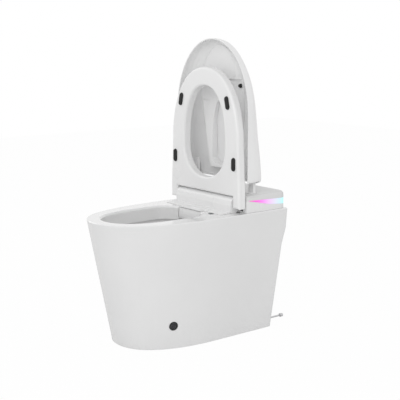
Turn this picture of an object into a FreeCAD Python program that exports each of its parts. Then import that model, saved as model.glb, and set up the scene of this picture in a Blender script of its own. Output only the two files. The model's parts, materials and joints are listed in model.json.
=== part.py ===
import FreeCAD, Part
import math
import os
import re
import Sketcher
from types import SimpleNamespace
from FreeCAD import Placement, Rotation, Vector

# A floor-standing one-piece washing toilet with a heated seat, lid and seat raised.
# Millimetres. Origin on the floor at the axis of the floor outlet, +Z up, the user sits
# facing -Y, and X = 0 is the plane of symmetry. "Reach" is a distance from the outlet axis.

SIZES = {
    # china body
    "rim_height": 430,
    "rim_half_width": 195,
    "nose_reach": 385,
    "rim_oval": 420,
    "rim_fullness": 2.45,
    "rear_reach": 295,
    "rear_corner": 14,
    "rim_rounding": 3,
    "foot_half_width": 164,
    "foot_nose_reach": 296,
    "foot_oval": 285,
    "foot_fullness": 2.29,
    "foot_rear_reach": 248,
    "waist_height": 300,
    "waist_rear_reach": 279,
    "shoulder_height": 360,
    "china_wall": 12,
    # bowl, flush channel and trap
    "bowl_half_width": 117,
    "bowl_front_reach": 338,
    "bowl_rear_reach": 10,
    "bowl_front_oval": 190,
    "bowl_rear_oval": 78,
    "bowl_fullness": 2.3,
    "bowl_lip": 6,
    "bowl_rim_depth": 47,
    "channel_height": 28,
    "channel_depth": 13,
    "throat_radius": 27,
    "throat_height": 112,
    "throat_step": 2,
    "trap_turn": 40,
    "trap_wall": 9,
    "dip_height": 85,
    "weir_height": 160,
    "outlet_radius": 46,
    "outlet_horn": 60,
    "seal_height": 12,
    "seal_width": 15,
    # openings in the deck
    "bay_half_width": 172,
    "bay_front": 112,
    "bay_rear": 280,
    "nozzle_bay_half_width": 62,
    "nozzle_bay_depth": 62,
    "spray_hole_x": 112,
    "spray_hole_y": 10,
    "spray_hole_radius": 7,
    # clearances
    "seat_gap": 0.3,
    "run_gap": 0.05,
    "lift_gap": 6,
    # housing behind the seat
    "housing_half_width": 187,
    "housing_front": 104.5,
    "housing_rear": 299,
    "housing_corner": 42,
    "housing_wall": 12,
    "housing_height": 490,
    "band_front_height": 472,
    "band_rear_height": 466,
    "cover_wall": 3,
    "cover_crown": 17,
    "tub_half_width": 166,
    "tub_front": 115,
    "tub_rear": 277,
    "tub_floor": 381,
    "tub_wall": 3,
    "flange_thickness": 3,
    # light strip
    "strip_depth": 6,
    "strip_tip_y": 114,
    "strip_bend_y": 209,
    "strip_bend_height": 452,
    "strip_rear_height": 444,
    "strip_end_x": 146,
    "board_thickness": 1.6,
    # seat
    "seat_half_width": 181,
    "seat_tip_reach": 369,
    "seat_oval": 250,
    "seat_fullness": 2.1,
    "seat_thickness": 33,
    "seat_split": 13,
    "seat_notch_y": 61,
    "seat_notch_chamfer": 2,
    "arm_end_y": 102,
    "arm_outer": 189,
    "arm_inner": 156,
    "seat_hole_half_width": 112,
    "seat_hole_front": 306,
    "seat_hole_rear": 11,
    "seat_hole_front_oval": 190,
    "seat_hole_rear_oval": 110,
    "heater_thickness": 1,
    "heater_margin": 16,
    "bumper_length": 43,
    "bumper_width": 16,
    "bumper_height": 5.4,
    "front_bumper_x": 127,
    "front_bumper_y": 253,
    "front_bumper_lean": 13,
    "rear_bumper_x": 162,
    "rear_bumper_y": 49,
    # hinge lines
    "seat_axis_y": 90,
    "seat_axis_height": 459,
    "lid_axis_y": 146,
    "lid_axis_height": 480,
    "open_angle": 90,
    "pin_radius": 4,
    "roll_radius": 26,
    "roll_wall": 3,
    "roll_half_width": 152.5,
    "roll_crest": 1,
    "roll_gap": 1.6,
    "damper_length": 50,
    # lid
    "lid_half_width": 196,
    "lid_tip_reach": 389,
    "lid_oval": 252,
    "lid_rear_y": 98,
    "lid_depth": 70,
    "lid_fall": 29,
    "lid_wall": 3,
    "lid_rear_lip": 17,
    "lid_rear_corner": 16,
    "lid_arm_x": 153,
    "lid_arm_width": 24,
    "lid_arm_thickness": 11,
    "lid_arm_rise": 5,
    "lid_arm_length": 104,
    "knuckle_radius": 13,
    "liner_height": 472.5,
    "liner_thickness": 2.6,
    "liner_half_width": 95,
    "liner_rear_half_width": 50,
    "liner_widest_y": 212,
    "liner_tip_reach": 367,
    "liner_rear_y": 62,
    "liner_skirt": 34,
    "hollow_half_width": 38,
    "hollow_front_y": 178,
    "pocket_inner_x": 52,
    "pocket_outer_x": 132,
    "pocket_front_y": 251,
    "pocket_rear_y": 172,
    "lid_bumper_x": 108,
    "lid_bumper_y": 230,
    "lid_bumper_radius": 6,
    # washing nozzle, its shield and the air outlet
    "nozzle_slope": 20,
    "nozzle_tip_y": 34,
    "nozzle_tip_height": 401,
    "wand_radius": 7,
    "wand_length": 136,
    "rail_wall": 2,
    "shield_half_width": 59,
    "shield_bulge": 4,
    "shield_height": 36,
    "shield_thickness": 3,
    "shield_axis_y": 9,
    "shield_axis_height": 425,
    "shield_pin_radius": 1.5,
    "tray_depth": 50,
    "apron_height": 4.6,
    "apron_lip": 1.2,
    "duct_x": 84,
    "duct_width": 30,
    "duct_bottom": 386,
    "duct_height": 28,
    "duct_front_y": -4,
    "duct_wall": 2,
    # inner works
    "blower_y": 196,
    "blower_x": 108,
    "blower_radius": 33,
    "blower_height": 38,
    "rotor_radius": 26,
    "heater_length": 100,
    "heater_width": 78,
    "heater_height": 56,
    "valve_length": 92,
    "valve_width": 56,
    "valve_height": 30,
    "coil_radius": 9,
    "coil_height": 30,
    "supply_x": -9,
    "supply_length": 78,
    "supply_width": 58,
    "supply_height": 40,
    "board_inset": 3,
    "standoff_height": 9,
    "flush_valve_width": 64,
    "flush_valve_y": 190,
    "flush_valve_length": 60,
    "flush_height": 352,
    "flush_pipe_radius": 12,
    # water supply
    "inlet_x": 140,
    "inlet_height": 22,
    "inlet_reach": 322,
    "inlet_radius": 3.2,
    "inlet_turn": 14,
    "inlet_riser_y": 220,
    "nut_radius": 6.4,
    "nut_length": 12,
    "nut_socket": 7,
    "nut_socket_radius": 4.6,
    # foot sensor
    "sensor_y": 177,
    "sensor_height": 80,
    "sensor_radius": 15,
    "sensor_window_radius": 11,
    "sensor_depth": 9,
    "sensor_proud": 1.2,
    # screws
    "screw_x": 177.5,
    "screw_radius": 2.1,
    "screw_head_radius": 3.6,
    "screw_head_height": 2.4,
    "screw_front_y": 140,
    "screw_rear_y": 236,
}

doc = FreeCAD.newDocument("washing_toilet")
sheet = doc.addObject("Spreadsheet::Sheet", "Sizes")
for row, (alias, value) in enumerate(SIZES.items(), start=1):
    sheet.set(f"A{row}", alias)
    sheet.set(f"B{row}", str(value))
    sheet.setAlias(f"B{row}", alias)
doc.recompute()
# the sheet's values, for the shapes that are worked out with Part's own functions
s = SimpleNamespace(**{alias: float(sheet.get(alias)) for alias in SIZES})

PIECES = []


# ---------------------------------------------------------------- helpers

def formula(text):
    """A formula in the sheet's names, as the expression engine wants it."""
    return re.sub(r"[a-z][a-z_]*[a-z]", lambda m: f"Sizes.{m[0]}" if m[0] in SIZES else m[0], str(text))


def bind(thing, **formulas):
    """Tie each named property of a thing to a formula."""
    for name, text in formulas.items():
        thing.setExpression(name, formula(text))
    return thing


def place(thing, x="0", y="0", z="0"):
    """Tie a thing's place to three formulas."""
    for axis, text in zip("xyz", (x, y, z)):
        thing.setExpression(f"Placement.Base.{axis}", formula(text))
    return thing


def keep(thing, label):
    """Name a finished piece, which is then written to its own file."""
    thing.Label = label
    PIECES.append(thing)
    return thing


def box(name, x, y, z):
    """A block between pairs of formulas (low, high) along each axis."""
    block = doc.addObject("Part::Box", name)
    bind(block, Length=f"({x[1]}) - ({x[0]})", Width=f"({y[1]}) - ({y[0]})", Height=f"({z[1]}) - ({z[0]})")
    return place(block, x[0], y[0], z[0])


TURNS = {
    "x": Rotation(Vector(0, 1, 0), 90),
    "y": Rotation(Vector(1, 0, 0), -90),
    "z": Rotation(),
}


def rod(name, along, radius, length, x="0", y="0", z="0"):
    """A cylinder that starts at (x, y, z) and runs along +X, +Y or +Z."""
    cylinder = doc.addObject("Part::Cylinder", name)
    cylinder.Placement = Placement(Vector(), TURNS[along])
    bind(cylinder, Radius=radius, Height=length)
    return place(cylinder, x, y, z)


def fuse(name, *things):
    """One solid from several."""
    joined = doc.addObject("Part::MultiFuse", name)
    joined.Shapes = list(things)
    joined.Refine = True
    return joined


def cut(name, base, *tools):
    """A solid with other solids taken out of it."""
    result = doc.addObject("Part::Cut", name)
    result.Base = base
    result.Tool = tools[0] if len(tools) == 1 else fuse(name + "_tools", *tools)
    return result


def mirrored(name, source):
    """The same piece on the other side of the plane of symmetry."""
    other = doc.addObject("Part::Mirroring", name)
    other.Source = source
    other.Normal = Vector(1, 0, 0)
    return other


def feature(name, shape, placement=None):
    """A piece whose shape is worked out from the sheet's values."""
    thing = doc.addObject("Part::Feature", name)
    thing.Shape = shape
    thing.Placement = placement or Placement()
    return thing


def polygon(body, role, corners):
    """A closed sketch on a body's own origin plane, each corner tied to two formulas."""
    sketch = body.newObject("Sketcher::SketchObject", body.Name + "_outline")
    plane = next(item for item in body.Origin.OriginFeatures if item.Role == role)
    sketch.AttachmentSupport = [(plane, "")]
    sketch.MapMode = "FlatFace"
    count = len(corners)
    spots = [
        Vector(math.cos(2 * math.pi * i / count), math.sin(2 * math.pi * i / count)) * 50
        for i in range(count)
    ]
    for i in range(count):
        sketch.addGeometry(Part.LineSegment(spots[i], spots[(i + 1) % count]))
    for i in range(count):
        sketch.addConstraint(Sketcher.Constraint("Coincident", i, 2, (i + 1) % count, 1))
    for i, corner in enumerate(corners):
        for kind, text, spot in zip(("DistanceX", "DistanceY"), corner, spots[i][:2]):
            number = sketch.addConstraint(Sketcher.Constraint(kind, -1, 1, i, 1, spot))
            sketch.setExpression(f"Constraints[{number}]", formula(text))
    return sketch


def padded(name, role, corners, length, centred=True):
    """A body padded from a polygon, centred on its plane or to one side."""
    body = doc.addObject("PartDesign::Body", name)
    sketch = polygon(body, role, corners)
    pad = body.newObject("PartDesign::Pad", name + "_pad")
    pad.Profile = sketch
    pad.SideType = "Symmetric" if centred else "One side"
    bind(pad, Length=length)
    doc.recompute()
    return body


def turned(name, corners):
    """A body turned about its own Z axis from a half outline of (radius, height)."""
    body = doc.addObject("PartDesign::Body", name)
    sketch = polygon(body, "XZ_Plane", corners)
    spin = body.newObject("PartDesign::Revolution", name + "_turn")
    spin.Profile = sketch
    spin.ReferenceAxis = (sketch, ["V_Axis"])
    spin.Angle = 360
    doc.recompute()
    return body


def rounded(body, radius, chosen):
    """Fillet the edges of a body that a test chooses."""
    base = body.Tip
    names = [f"Edge{i}" for i, edge in enumerate(base.Shape.Edges, start=1) if chosen(edge)]
    fillet = body.newObject("PartDesign::Fillet", body.Name + "_fillet")
    fillet.Base = (base, names)
    bind(fillet, Radius=radius)
    doc.recompute()
    return body


def runs_along(axis):
    """A test for straight edges that run along an axis."""
    def test(edge):
        if edge.Curve.TypeId != "Part::GeomLine":
            return False
        return abs(edge.Curve.Direction[axis]) > 0.999
    return test


def half_oval(z, half_width, length, fullness, centre, heading):
    """Half of a superellipse from -X to +X, its nose towards -Y (heading -1) or +Y (+1)."""
    spots = []
    for step in range(-6, 7):
        angle = step * math.pi / 12
        across, along = abs(math.sin(angle)), abs(math.cos(angle))
        reach = ((along / length) ** fullness + (across / half_width) ** fullness) ** (-1 / fullness)
        spots.append(Vector(reach * math.sin(angle), centre + heading * reach * math.cos(angle), z))
    spots[0].x, spots[-1].x = -half_width, half_width
    spots[0].y = spots[-1].y = centre
    curve = Part.BSplineCurve()
    ends = Vector(0, heading, 0), Vector(0, -heading, 0)
    curve.interpolate(Points=spots, InitialTangent=ends[0], FinalTangent=ends[1])
    return curve.toShape()


def line(start, end):
    """A straight edge."""
    return Part.LineSegment(start, end).toShape()


def corner_arc(centre, radius, side):
    """A quarter arc at a rear corner: from the side wall to the rear wall for side +1, back for -1."""
    mid = Vector(side * radius * math.sqrt(0.5), radius * math.sqrt(0.5), 0)
    wall = centre + Vector(side * radius, 0, 0)
    rear = centre + Vector(0, radius, 0)
    ends = (wall, rear) if side > 0 else (rear, wall)
    return Part.Arc(ends[0], centre + mid, ends[1]).toShape()


def shoe(z, half_width, nose, oval, fullness, rear, corner):
    """An outline with an oval nose, straight sides and a flat back with round corners."""
    centre = oval - nose
    left, right = -half_width + corner, half_width - corner
    side_end = rear - corner
    return Part.Wire([
        half_oval(z, half_width, oval, fullness, centre, -1),
        line(Vector(half_width, centre, z), Vector(half_width, side_end, z)),
        corner_arc(Vector(right, side_end, z), corner, 1),
        line(Vector(right, rear, z), Vector(left, rear, z)),
        corner_arc(Vector(left, side_end, z), corner, -1),
        line(Vector(-half_width, side_end, z), Vector(-half_width, centre, z)),
    ])


def egg(z, half_width, nose, rear, front_oval, rear_oval, fullness):
    """An outline with an oval at both ends and straight sides between them."""
    front_centre, rear_centre = front_oval - nose, rear - rear_oval
    tail = half_oval(z, half_width, rear_oval, fullness, rear_centre, 1)
    return Part.Wire([
        half_oval(z, half_width, front_oval, fullness, front_centre, -1),
        line(Vector(half_width, front_centre, z), Vector(half_width, rear_centre, z)),
        tail.reversed(),
        line(Vector(-half_width, rear_centre, z), Vector(-half_width, front_centre, z)),
    ])


def loft(wires, ruled=True):
    """A solid through outlines, lowest first."""
    return Part.makeLoft(wires, True, ruled)


# ---------------------------------------------------------------- china body

def body_outline(z, inset, rear):
    """The china's outline at a height: its front and sides lean evenly from foot to rim."""
    share = z / s.rim_height
    def between(foot, rim):
        return foot + (rim - foot) * share
    return shoe(
        z,
        between(s.foot_half_width, s.rim_half_width) - inset,
        between(s.foot_nose_reach, s.nose_reach) - inset,
        between(s.foot_oval, s.rim_oval) - inset,
        between(s.foot_fullness, s.rim_fullness),
        rear - inset,
        max(s.rear_corner - inset, 2),
    )


def rear_at(z):
    """How far back the china reaches at a height: it steps in below the shoulder."""
    heights = [0, s.waist_height, s.shoulder_height, s.rim_height]
    reaches = [s.foot_rear_reach, s.waist_rear_reach, s.rear_reach - 1, s.rear_reach]
    for low, high, near, far in zip(heights, heights[1:], reaches, reaches[1:]):
        if z <= high:
            return near + (far - near) * (z - low) / (high - low)
    return s.rear_reach


def bowl_solid(grow):
    """The bowl's hollow, from the rim down to the throat, grown all round by a wall."""
    rim_bottom = s.rim_height - s.bowl_rim_depth
    drop = rim_bottom - s.channel_height - s.throat_height
    sump = -4 * s.trap_turn
    # share of the drop, half width, front and rear reach: the rear wall falls first, then stands
    stages = [
        (0, 0.96, 0.985, -0.005),
        (0.24, 0.80, 0.91, -0.19),
        (0.5, 0.58, 0.79, -0.31),
        (0.76, 0.37, 0.65, -0.375),
    ]
    wires = []
    for share, width, front, rear in stages:
        wires.append(egg(
            rim_bottom - s.channel_height - share * drop,
            s.bowl_half_width * width + grow,
            s.bowl_front_reach * front + grow,
            s.bowl_rear_reach + rear * s.bowl_front_reach + grow,
            s.bowl_front_oval * width + grow,
            s.bowl_rear_oval * width + grow,
            s.bowl_fullness,
        ))
    radius = s.throat_radius + s.throat_step + grow
    wires.append(egg(s.throat_height, radius, radius - sump, sump + radius, radius - 0.1, radius - 0.1, 2))
    return loft(wires[::-1], ruled=False)


def rim_solid(low, high, grow):
    """The upright part of the bowl's wall between two heights, grown by an amount."""
    return loft([
        egg(z, s.bowl_half_width + g, s.bowl_front_reach + g, s.bowl_rear_reach + g,
            s.bowl_front_oval + g, s.bowl_rear_oval + g, s.bowl_fullness)
        for z, g in zip((low, high), grow)
    ])


def bend(y, z, radius, sense):
    """Half a turn of round passage in the plane of symmetry, below (-1) or above (+1) a height."""
    disc = Part.Face(Part.Wire([Part.makeCircle(radius, Vector(0, y - s.trap_turn, z))]))
    return disc.revolve(Vector(0, y, z), Vector(1, 0, 0), -180 * sense)


def trap_solids(radius):
    """The S-shaped passage from the throat down, over the weir and into the floor."""
    sump, rise = -4 * s.trap_turn, -2 * s.trap_turn
    return [
        Part.makeCylinder(radius, s.throat_height - s.dip_height + 1, Vector(0, sump, s.dip_height)),
        bend(-3 * s.trap_turn, s.dip_height, radius, -1),
        Part.makeCylinder(radius, s.weir_height - s.dip_height, Vector(0, rise, s.dip_height)),
        bend(-s.trap_turn, s.weir_height, radius, 1),
        Part.makeCylinder(radius, s.weir_height - s.seal_height, Vector(0, 0, s.seal_height)),
    ]


def sensor_frame():
    """Where the foot sensor sits on the side wall, and which way the wall faces there."""
    share = s.sensor_height / s.rim_height
    half = s.foot_half_width + (s.rim_half_width - s.foot_half_width) * share
    nose = s.foot_nose_reach + (s.nose_reach - s.foot_nose_reach) * share
    oval = s.foot_oval + (s.rim_oval - s.foot_oval) * share
    fullness = s.foot_fullness + (s.rim_fullness - s.foot_fullness) * share
    def wall_x(y):
        ahead = max(oval - nose - y, 0) / oval
        return half * (1 - ahead ** fullness) ** (1 / fullness)
    y = -s.sensor_y
    lean = (s.rim_half_width - s.foot_half_width) / s.rim_height
    slope = (wall_x(y + 1) - wall_x(y - 1)) / 2
    return Vector(wall_x(y), y, s.sensor_height), Vector(1, -slope, -lean).normalize()


sensor_spot, sensor_way = sensor_frame()


def sensor_rod(radius, low, high):
    """A cylinder along the foot sensor's axis, between two distances from the wall's face."""
    return Part.makeCylinder(radius, high - low, sensor_spot + sensor_way * low, sensor_way)


def china_shape():
    """The whole china body: skirt, deck, bowl with its flush channel, trap and outlet horn."""
    wall = s.china_wall
    rim = s.rim_height
    step = s.rim_rounding
    deck_under = rim - wall
    skin = loft([
        body_outline(z, inset, rear_at(z))
        for z, inset in ((0, 0), (s.waist_height, 0), (s.shoulder_height, 0), (rim - step, 0), (rim, step))
    ])
    inside = loft([
        body_outline(z, wall, rear_at(z))
        for z in (0, s.waist_height, s.shoulder_height, deck_under)
    ])
    channel_top = rim - s.bowl_rim_depth
    channel_floor = channel_top - s.channel_height
    channel = s.channel_depth
    outer_rim = rim_solid(channel_floor, deck_under + 1, (channel + wall, channel + wall))
    horn_top = s.seal_height + s.outlet_horn
    walls = [bowl_solid(wall), outer_rim, *trap_solids(s.throat_radius + s.trap_wall)]
    walls.append(Part.makeCylinder(s.outlet_radius + wall, s.outlet_horn, Vector(0, 0, s.seal_height)))
    walls.append(Part.makeCylinder(s.outlet_radius - 4, wall, Vector(0, 0, horn_top - 1)))
    walls.append(sensor_rod(s.sensor_radius + 6, -s.sensor_depth - 1, -wall / 2))
    hollow = inside.cut(walls)
    passages = [
        rim_solid(channel_top - 0.5, rim - s.bowl_lip, (0, 0)),
        rim_solid(rim - s.bowl_lip, rim, (0, s.bowl_lip)),
        rim_solid(rim, rim + 1, (s.bowl_lip, s.bowl_lip)),
        rim_solid(channel_floor, channel_top, (channel, channel)),
        bowl_solid(0),
        *trap_solids(s.throat_radius),
        Part.makeCylinder(s.outlet_radius, s.outlet_horn, Vector(0, 0, s.seal_height)),
    ]
    bay_floor = deck_under - 20
    bay = Part.makeBox(
        2 * s.bay_half_width, s.bay_rear - s.bay_front, wall + 40,
        Vector(-s.bay_half_width, s.bay_front, bay_floor))
    nozzle_bay = Part.makeBox(
        2 * s.nozzle_bay_half_width, s.bay_front + 31, s.nozzle_bay_depth + 5,
        Vector(-s.nozzle_bay_half_width, -30, rim - s.nozzle_bay_depth))
    gap = s.seat_gap
    duct_side = s.duct_width / 2 + gap
    duct_hole = Part.makeBox(
        2 * duct_side, 140, s.duct_height + 2 * gap, Vector(s.duct_x - duct_side, -100, s.duct_bottom - gap))
    holes = [
        Part.makeCylinder(
            s.spray_hole_radius + gap, wall + 2, Vector(s.spray_hole_x, s.spray_hole_y, deck_under - 1)),
        sensor_rod(s.sensor_radius + gap, -s.sensor_depth - 20, 10),
        Part.makeCylinder(
            s.nut_radius + 3, 60, Vector(s.inlet_x, s.foot_rear_reach - 30, s.inlet_height),
            Vector(0, 1, 0)),
        Part.makeCylinder(
            s.flush_pipe_radius, 40, Vector(0, s.bowl_rear_reach + 2, s.flush_height), Vector(0, 1, 0)),
    ]
    for side in (-1, 1):
        for y in (s.screw_front_y, s.screw_rear_y):
            start = Vector(side * s.screw_x, y, deck_under - 1)
            holes.append(Part.makeCylinder(s.screw_radius + gap, wall + 2, start))
    return skin.cut(hollow).cut([*passages, bay, nozzle_bay, duct_hole, *holes])


keep(feature("China", china_shape()), "china_body")

seal = turned("Seal", [
    ("outlet_radius", "0"),
    ("outlet_radius + seal_width", "0"),
    ("outlet_radius + seal_width - 2", "seal_height - seat_gap"),
    ("outlet_radius", "seal_height - seat_gap"),
])
keep(seal, "outlet_seal")

# ---------------------------------------------------------------- housing behind the seat

def plan(z, inset, front=0):
    """The housing's plan at a height, drawn in by an inset at its sides and back."""
    half = s.housing_half_width - inset
    rear = s.housing_rear - inset
    start = s.housing_front + front
    corner = s.housing_corner - inset
    side_end, left, right = rear - corner, -half + corner, half - corner
    return Part.Wire([
        line(Vector(-half, start, z), Vector(half, start, z)),
        line(Vector(half, start, z), Vector(half, side_end, z)),
        corner_arc(Vector(right, side_end, z), corner, 1),
        line(Vector(right, rear, z), Vector(left, rear, z)),
        corner_arc(Vector(left, side_end, z), corner, -1),
        line(Vector(-half, side_end, z), Vector(-half, start, z)),
    ])


def prism(low, high, inset, front=0):
    """The housing's plan carried up from one height to another."""
    return loft([plan(low, inset, front), plan(high, inset, front)])


def side_view(corners, half_width):
    """A prism across the body from corners given as (y, z)."""
    face = Part.Face(Part.makePolygon([Vector(-half_width, y, z) for y, z in corners + corners[:1]]))
    return face.extrude(Vector(2 * half_width, 0, 0))


def parting_height(y):
    """The height of the seam between band and cover, which falls gently to the rear."""
    share = (y - s.strip_tip_y) / (s.housing_rear - s.strip_tip_y)
    return s.band_front_height + (s.band_rear_height - s.band_front_height) * share


BASE_BOTTOM = s.rim_height + s.seat_gap
SEAM_ENDS = s.housing_front - 20, s.housing_rear + 20


def below_seam(drop):
    """Everything under the seam, less a gap."""
    corners = [(y, parting_height(y) - drop) for y in SEAM_ENDS]
    return side_view([(SEAM_ENDS[0], 0), *corners, (SEAM_ENDS[1], 0)], 2 * s.housing_half_width)


def strip_wedge(grow):
    """The light strip's side view: a point at the front that widens to the rear corner."""
    past = s.housing_rear + 5
    return side_view([
        (s.strip_tip_y - grow, parting_height(s.strip_tip_y) + 5),
        (s.strip_tip_y - grow, parting_height(s.strip_tip_y) - grow),
        (s.strip_bend_y, s.strip_bend_height - grow),
        (past, s.strip_rear_height - grow),
        (past, parting_height(past) + 5),
    ], 2 * s.housing_half_width)


def strip_ends(extra):
    """A block on the +X side that bounds how far the strip runs round the rear corner."""
    start = s.strip_end_x - extra
    return Part.makeBox(100, s.housing_rear, 100, Vector(start, s.strip_tip_y - extra - 1, s.rim_height))


WELL_WALL = 2
POCKET_DEPTH = s.strip_depth + s.board_thickness + 2 * s.seat_gap


def housing_base_shape():
    """The band round the housing with its tub for the works and pockets for the light strips."""
    wall = s.tub_wall
    flange_top = BASE_BOTTOM + s.flange_thickness
    band = prism(BASE_BOTTOM, s.housing_height, 0).cut(
        prism(flange_top, s.housing_height + 1, s.housing_wall, wall))
    band = band.common(below_seam(0))
    depth = s.rim_height - s.tub_floor + 1
    tub_size = s.tub_rear - s.tub_front
    tub = Part.makeBox(
        2 * s.tub_half_width, tub_size, depth, Vector(-s.tub_half_width, s.tub_front, s.tub_floor))
    inner = Part.makeBox(
        2 * (s.tub_half_width - wall), tub_size - 2 * wall, depth + 20,
        Vector(-s.tub_half_width + wall, s.tub_front + wall, s.tub_floor + wall))
    pocket = prism(s.rim_height, s.housing_height, -1).cut(
        prism(s.rim_height, s.housing_height, POCKET_DEPTH))
    pocket = pocket.common(strip_wedge(s.seat_gap)).common(strip_ends(s.seat_gap))
    slot_half = s.wand_radius + s.rail_wall + 3
    slot = Part.makeBox(
        2 * slot_half, 60, 90, Vector(-slot_half, s.housing_front - 20, s.tub_floor + wall + 8))
    hatch = Part.makeBox(
        2 * s.roll_half_width, 30, s.housing_height,
        Vector(-s.roll_half_width, s.housing_front - 20, flange_top))
    duct_half = s.duct_width / 2 + s.seat_gap
    duct_slot = Part.makeBox(
        2 * duct_half, 40, s.duct_height + 2 * s.seat_gap,
        Vector(s.duct_x - duct_half, s.tub_front - 15, s.duct_bottom - s.seat_gap))
    arm_ways = [arm_way(side, s.rim_height + s.lift_gap, WELL_WALL + s.seat_gap) for side in (-1, 1)]
    holes = [
        Part.makeCylinder(s.screw_radius + s.seat_gap, 40, Vector(side * s.screw_x, y, s.rim_height - 10))
        for side in (-1, 1) for y in (s.screw_front_y, s.screw_rear_y)
    ]
    heads = [
        Part.makeCylinder(s.screw_head_radius + 1, 60, Vector(side * s.screw_x, y, flange_top))
        for side in (-1, 1) for y in (s.screw_front_y, s.screw_rear_y)
    ]
    base = band.fuse(tub).cut(
        [inner, pocket, mirror_x(pocket), slot, hatch, duct_slot, *arm_ways, *holes, *heads])
    return base


def mirror_x(shape):
    """The shape on the other side of the plane of symmetry."""
    return shape.mirror(Vector(), Vector(1, 0, 0))


def arm_way(side, low, grow=0):
    """The well that a lid arm stands and swings in, above a height, grown by a wall."""
    half = s.lid_arm_width / 2 + 2 + grow
    rear = s.lid_axis_y + s.knuckle_radius + 9 + grow
    front = s.housing_front - 30
    return Part.makeBox(
        2 * half, rear - front, s.housing_height, Vector(side * s.lid_arm_x - half, front, low))


def cover_shape():
    """The domed top cover: a lofted skin, hollow below, with a well for each lid arm."""
    low = s.band_rear_height - 10
    top = s.housing_height
    crown = s.cover_crown
    stages = ((low, 0), (top - crown, 0), (top - 0.45 * crown, 0.06), (top - 0.15 * crown, 0.38), (top, 1.15))
    wall = s.cover_wall
    skin = loft([plan(z, share * crown, share * crown * 0.55) for z, share in stages])
    inside = loft([plan(z - wall * (share > 0), wall + share * crown, wall + share * crown * 0.55)
                   for z, share in ((low - 1, 0), *stages[1:])])
    well_floor = s.lid_axis_height - s.knuckle_radius - 3
    wells = [arm_way(side, well_floor) for side in (-1, 1)]
    cups = [skin.common(arm_way(side, well_floor - WELL_WALL, WELL_WALL)) for side in (-1, 1)]
    pin_way = Part.makeCylinder(
        s.pin_radius + s.seat_gap, 2 * s.lid_arm_x,
        Vector(-s.lid_arm_x, s.lid_axis_y, s.lid_axis_height), Vector(1, 0, 0))
    roll_way = Part.makeCylinder(
        s.roll_radius + s.seat_gap, 2 * (s.roll_half_width + s.seat_gap),
        Vector(-s.roll_half_width - s.seat_gap, s.seat_axis_y, s.seat_axis_height), Vector(1, 0, 0))
    shell = skin.cut(inside).cut(below_seam(-s.seat_gap))
    return shell.fuse(cups).cut([*wells, pin_way, roll_way])


keep(feature("HousingBase", housing_base_shape()), "housing_base")
keep(feature("HousingCover", cover_shape()), "housing_cover")


def strip_shape():
    """The right-hand light strip: a slice of the housing's own outline, wedge-shaped from the side."""
    ring = prism(s.rim_height, s.housing_height, 0.2).cut(
        prism(s.rim_height, s.housing_height, 0.2 + s.strip_depth))
    return ring.common(strip_wedge(0)).common(strip_ends(0)).common(below_seam(s.seat_gap))


def board_shape():
    """The thin board of lamps behind the right-hand strip, along its straight stretch."""
    start = 0.2 + s.strip_depth + s.seat_gap
    ring = prism(s.rim_height, s.housing_height, start).cut(
        prism(s.rim_height, s.housing_height, start + s.board_thickness))
    straight = Part.makeBox(
        50, s.housing_rear - s.housing_corner - s.strip_bend_y + 40, 60,
        Vector(s.strip_end_x, s.strip_bend_y - 40, s.rim_height))
    return ring.common(strip_wedge(-1)).common(straight).common(below_seam(2 * s.seat_gap))


strip = keep(feature("LightStripRight", strip_shape()), "light_strip_right")
keep(mirrored("LightStripLeft", strip), "light_strip_left")
board = keep(feature("LampBoardRight", board_shape()), "lamp_board_right")
keep(mirrored("LampBoardLeft", board), "lamp_board_left")

screws = []
for side in ("-", ""):
    for end in ("front", "rear"):
        name = f"Screw{len(screws)}"
        spot = (f"{side}screw_x", f"screw_{end}_y")
        shank = rod(
            name + "_shank", "z", "screw_radius", "china_wall + flange_thickness + seat_gap", *spot,
            "rim_height - china_wall")
        head = rod(
            name + "_head", "z", "screw_head_radius", "screw_head_height", *spot,
            "rim_height + seat_gap + flange_thickness")
        screws.append(fuse(name, shank, head))
screw_group = doc.addObject("Part::Compound", "BaseScrews")
screw_group.Links = screws
keep(screw_group, "base_screws")

# hinge cover: a roll on the seat's hinge line that slopes to the deck and runs back to the housing
roll_foot = padded("RollFoot", "YZ_Plane", [
    ("seat_notch_y + roll_gap", "rim_height + seat_gap"),
    ("seat_notch_y + roll_gap", "seat_axis_height - 4"),
    ("seat_axis_y - (roll_radius + roll_crest) * cos(26)",
        "seat_axis_height + (roll_radius + roll_crest) * sin(26)"),
    ("seat_axis_y - roll_radius * cos(57)", "seat_axis_height + roll_radius * sin(57)"),
    ("seat_axis_y", "seat_axis_height"),
    ("seat_axis_y", "rim_height + seat_gap"),
], "2 * roll_half_width")
roll_outer = fuse(
    "RollOuter",
    roll_foot,
    rod(
        "RollSkin", "x", "roll_radius", "2 * roll_half_width", "-roll_half_width", "seat_axis_y",
        "seat_axis_height"),
    box("RollBack", ("-roll_half_width", "roll_half_width"), ("seat_axis_y", "housing_front - seat_gap"),
        ("seat_axis_height - roll_radius", "seat_axis_height + roll_radius")),
)
inner_half = "(roll_half_width - roll_wall)"
roll_inner = fuse(
    "RollInner",
    rod(
        "RollHollow", "x", "roll_radius - roll_wall", f"2 * {inner_half}", f"-{inner_half}", "seat_axis_y",
        "seat_axis_height"),
    box("RollBackHollow", (f"-{inner_half}", inner_half), ("seat_axis_y", "housing_front + 1"),
        ("seat_axis_height - roll_radius - 1", "seat_axis_height + roll_radius - roll_wall")),
)
shaft_way = rod(
    "ShaftWay", "x", "pin_radius + seat_gap", "2 * roll_half_width + 2", "-roll_half_width - 1",
    "seat_axis_y", "seat_axis_height")
keep(cut("HingeCover", roll_outer, roll_inner, shaft_way), "hinge_cover")

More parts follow.
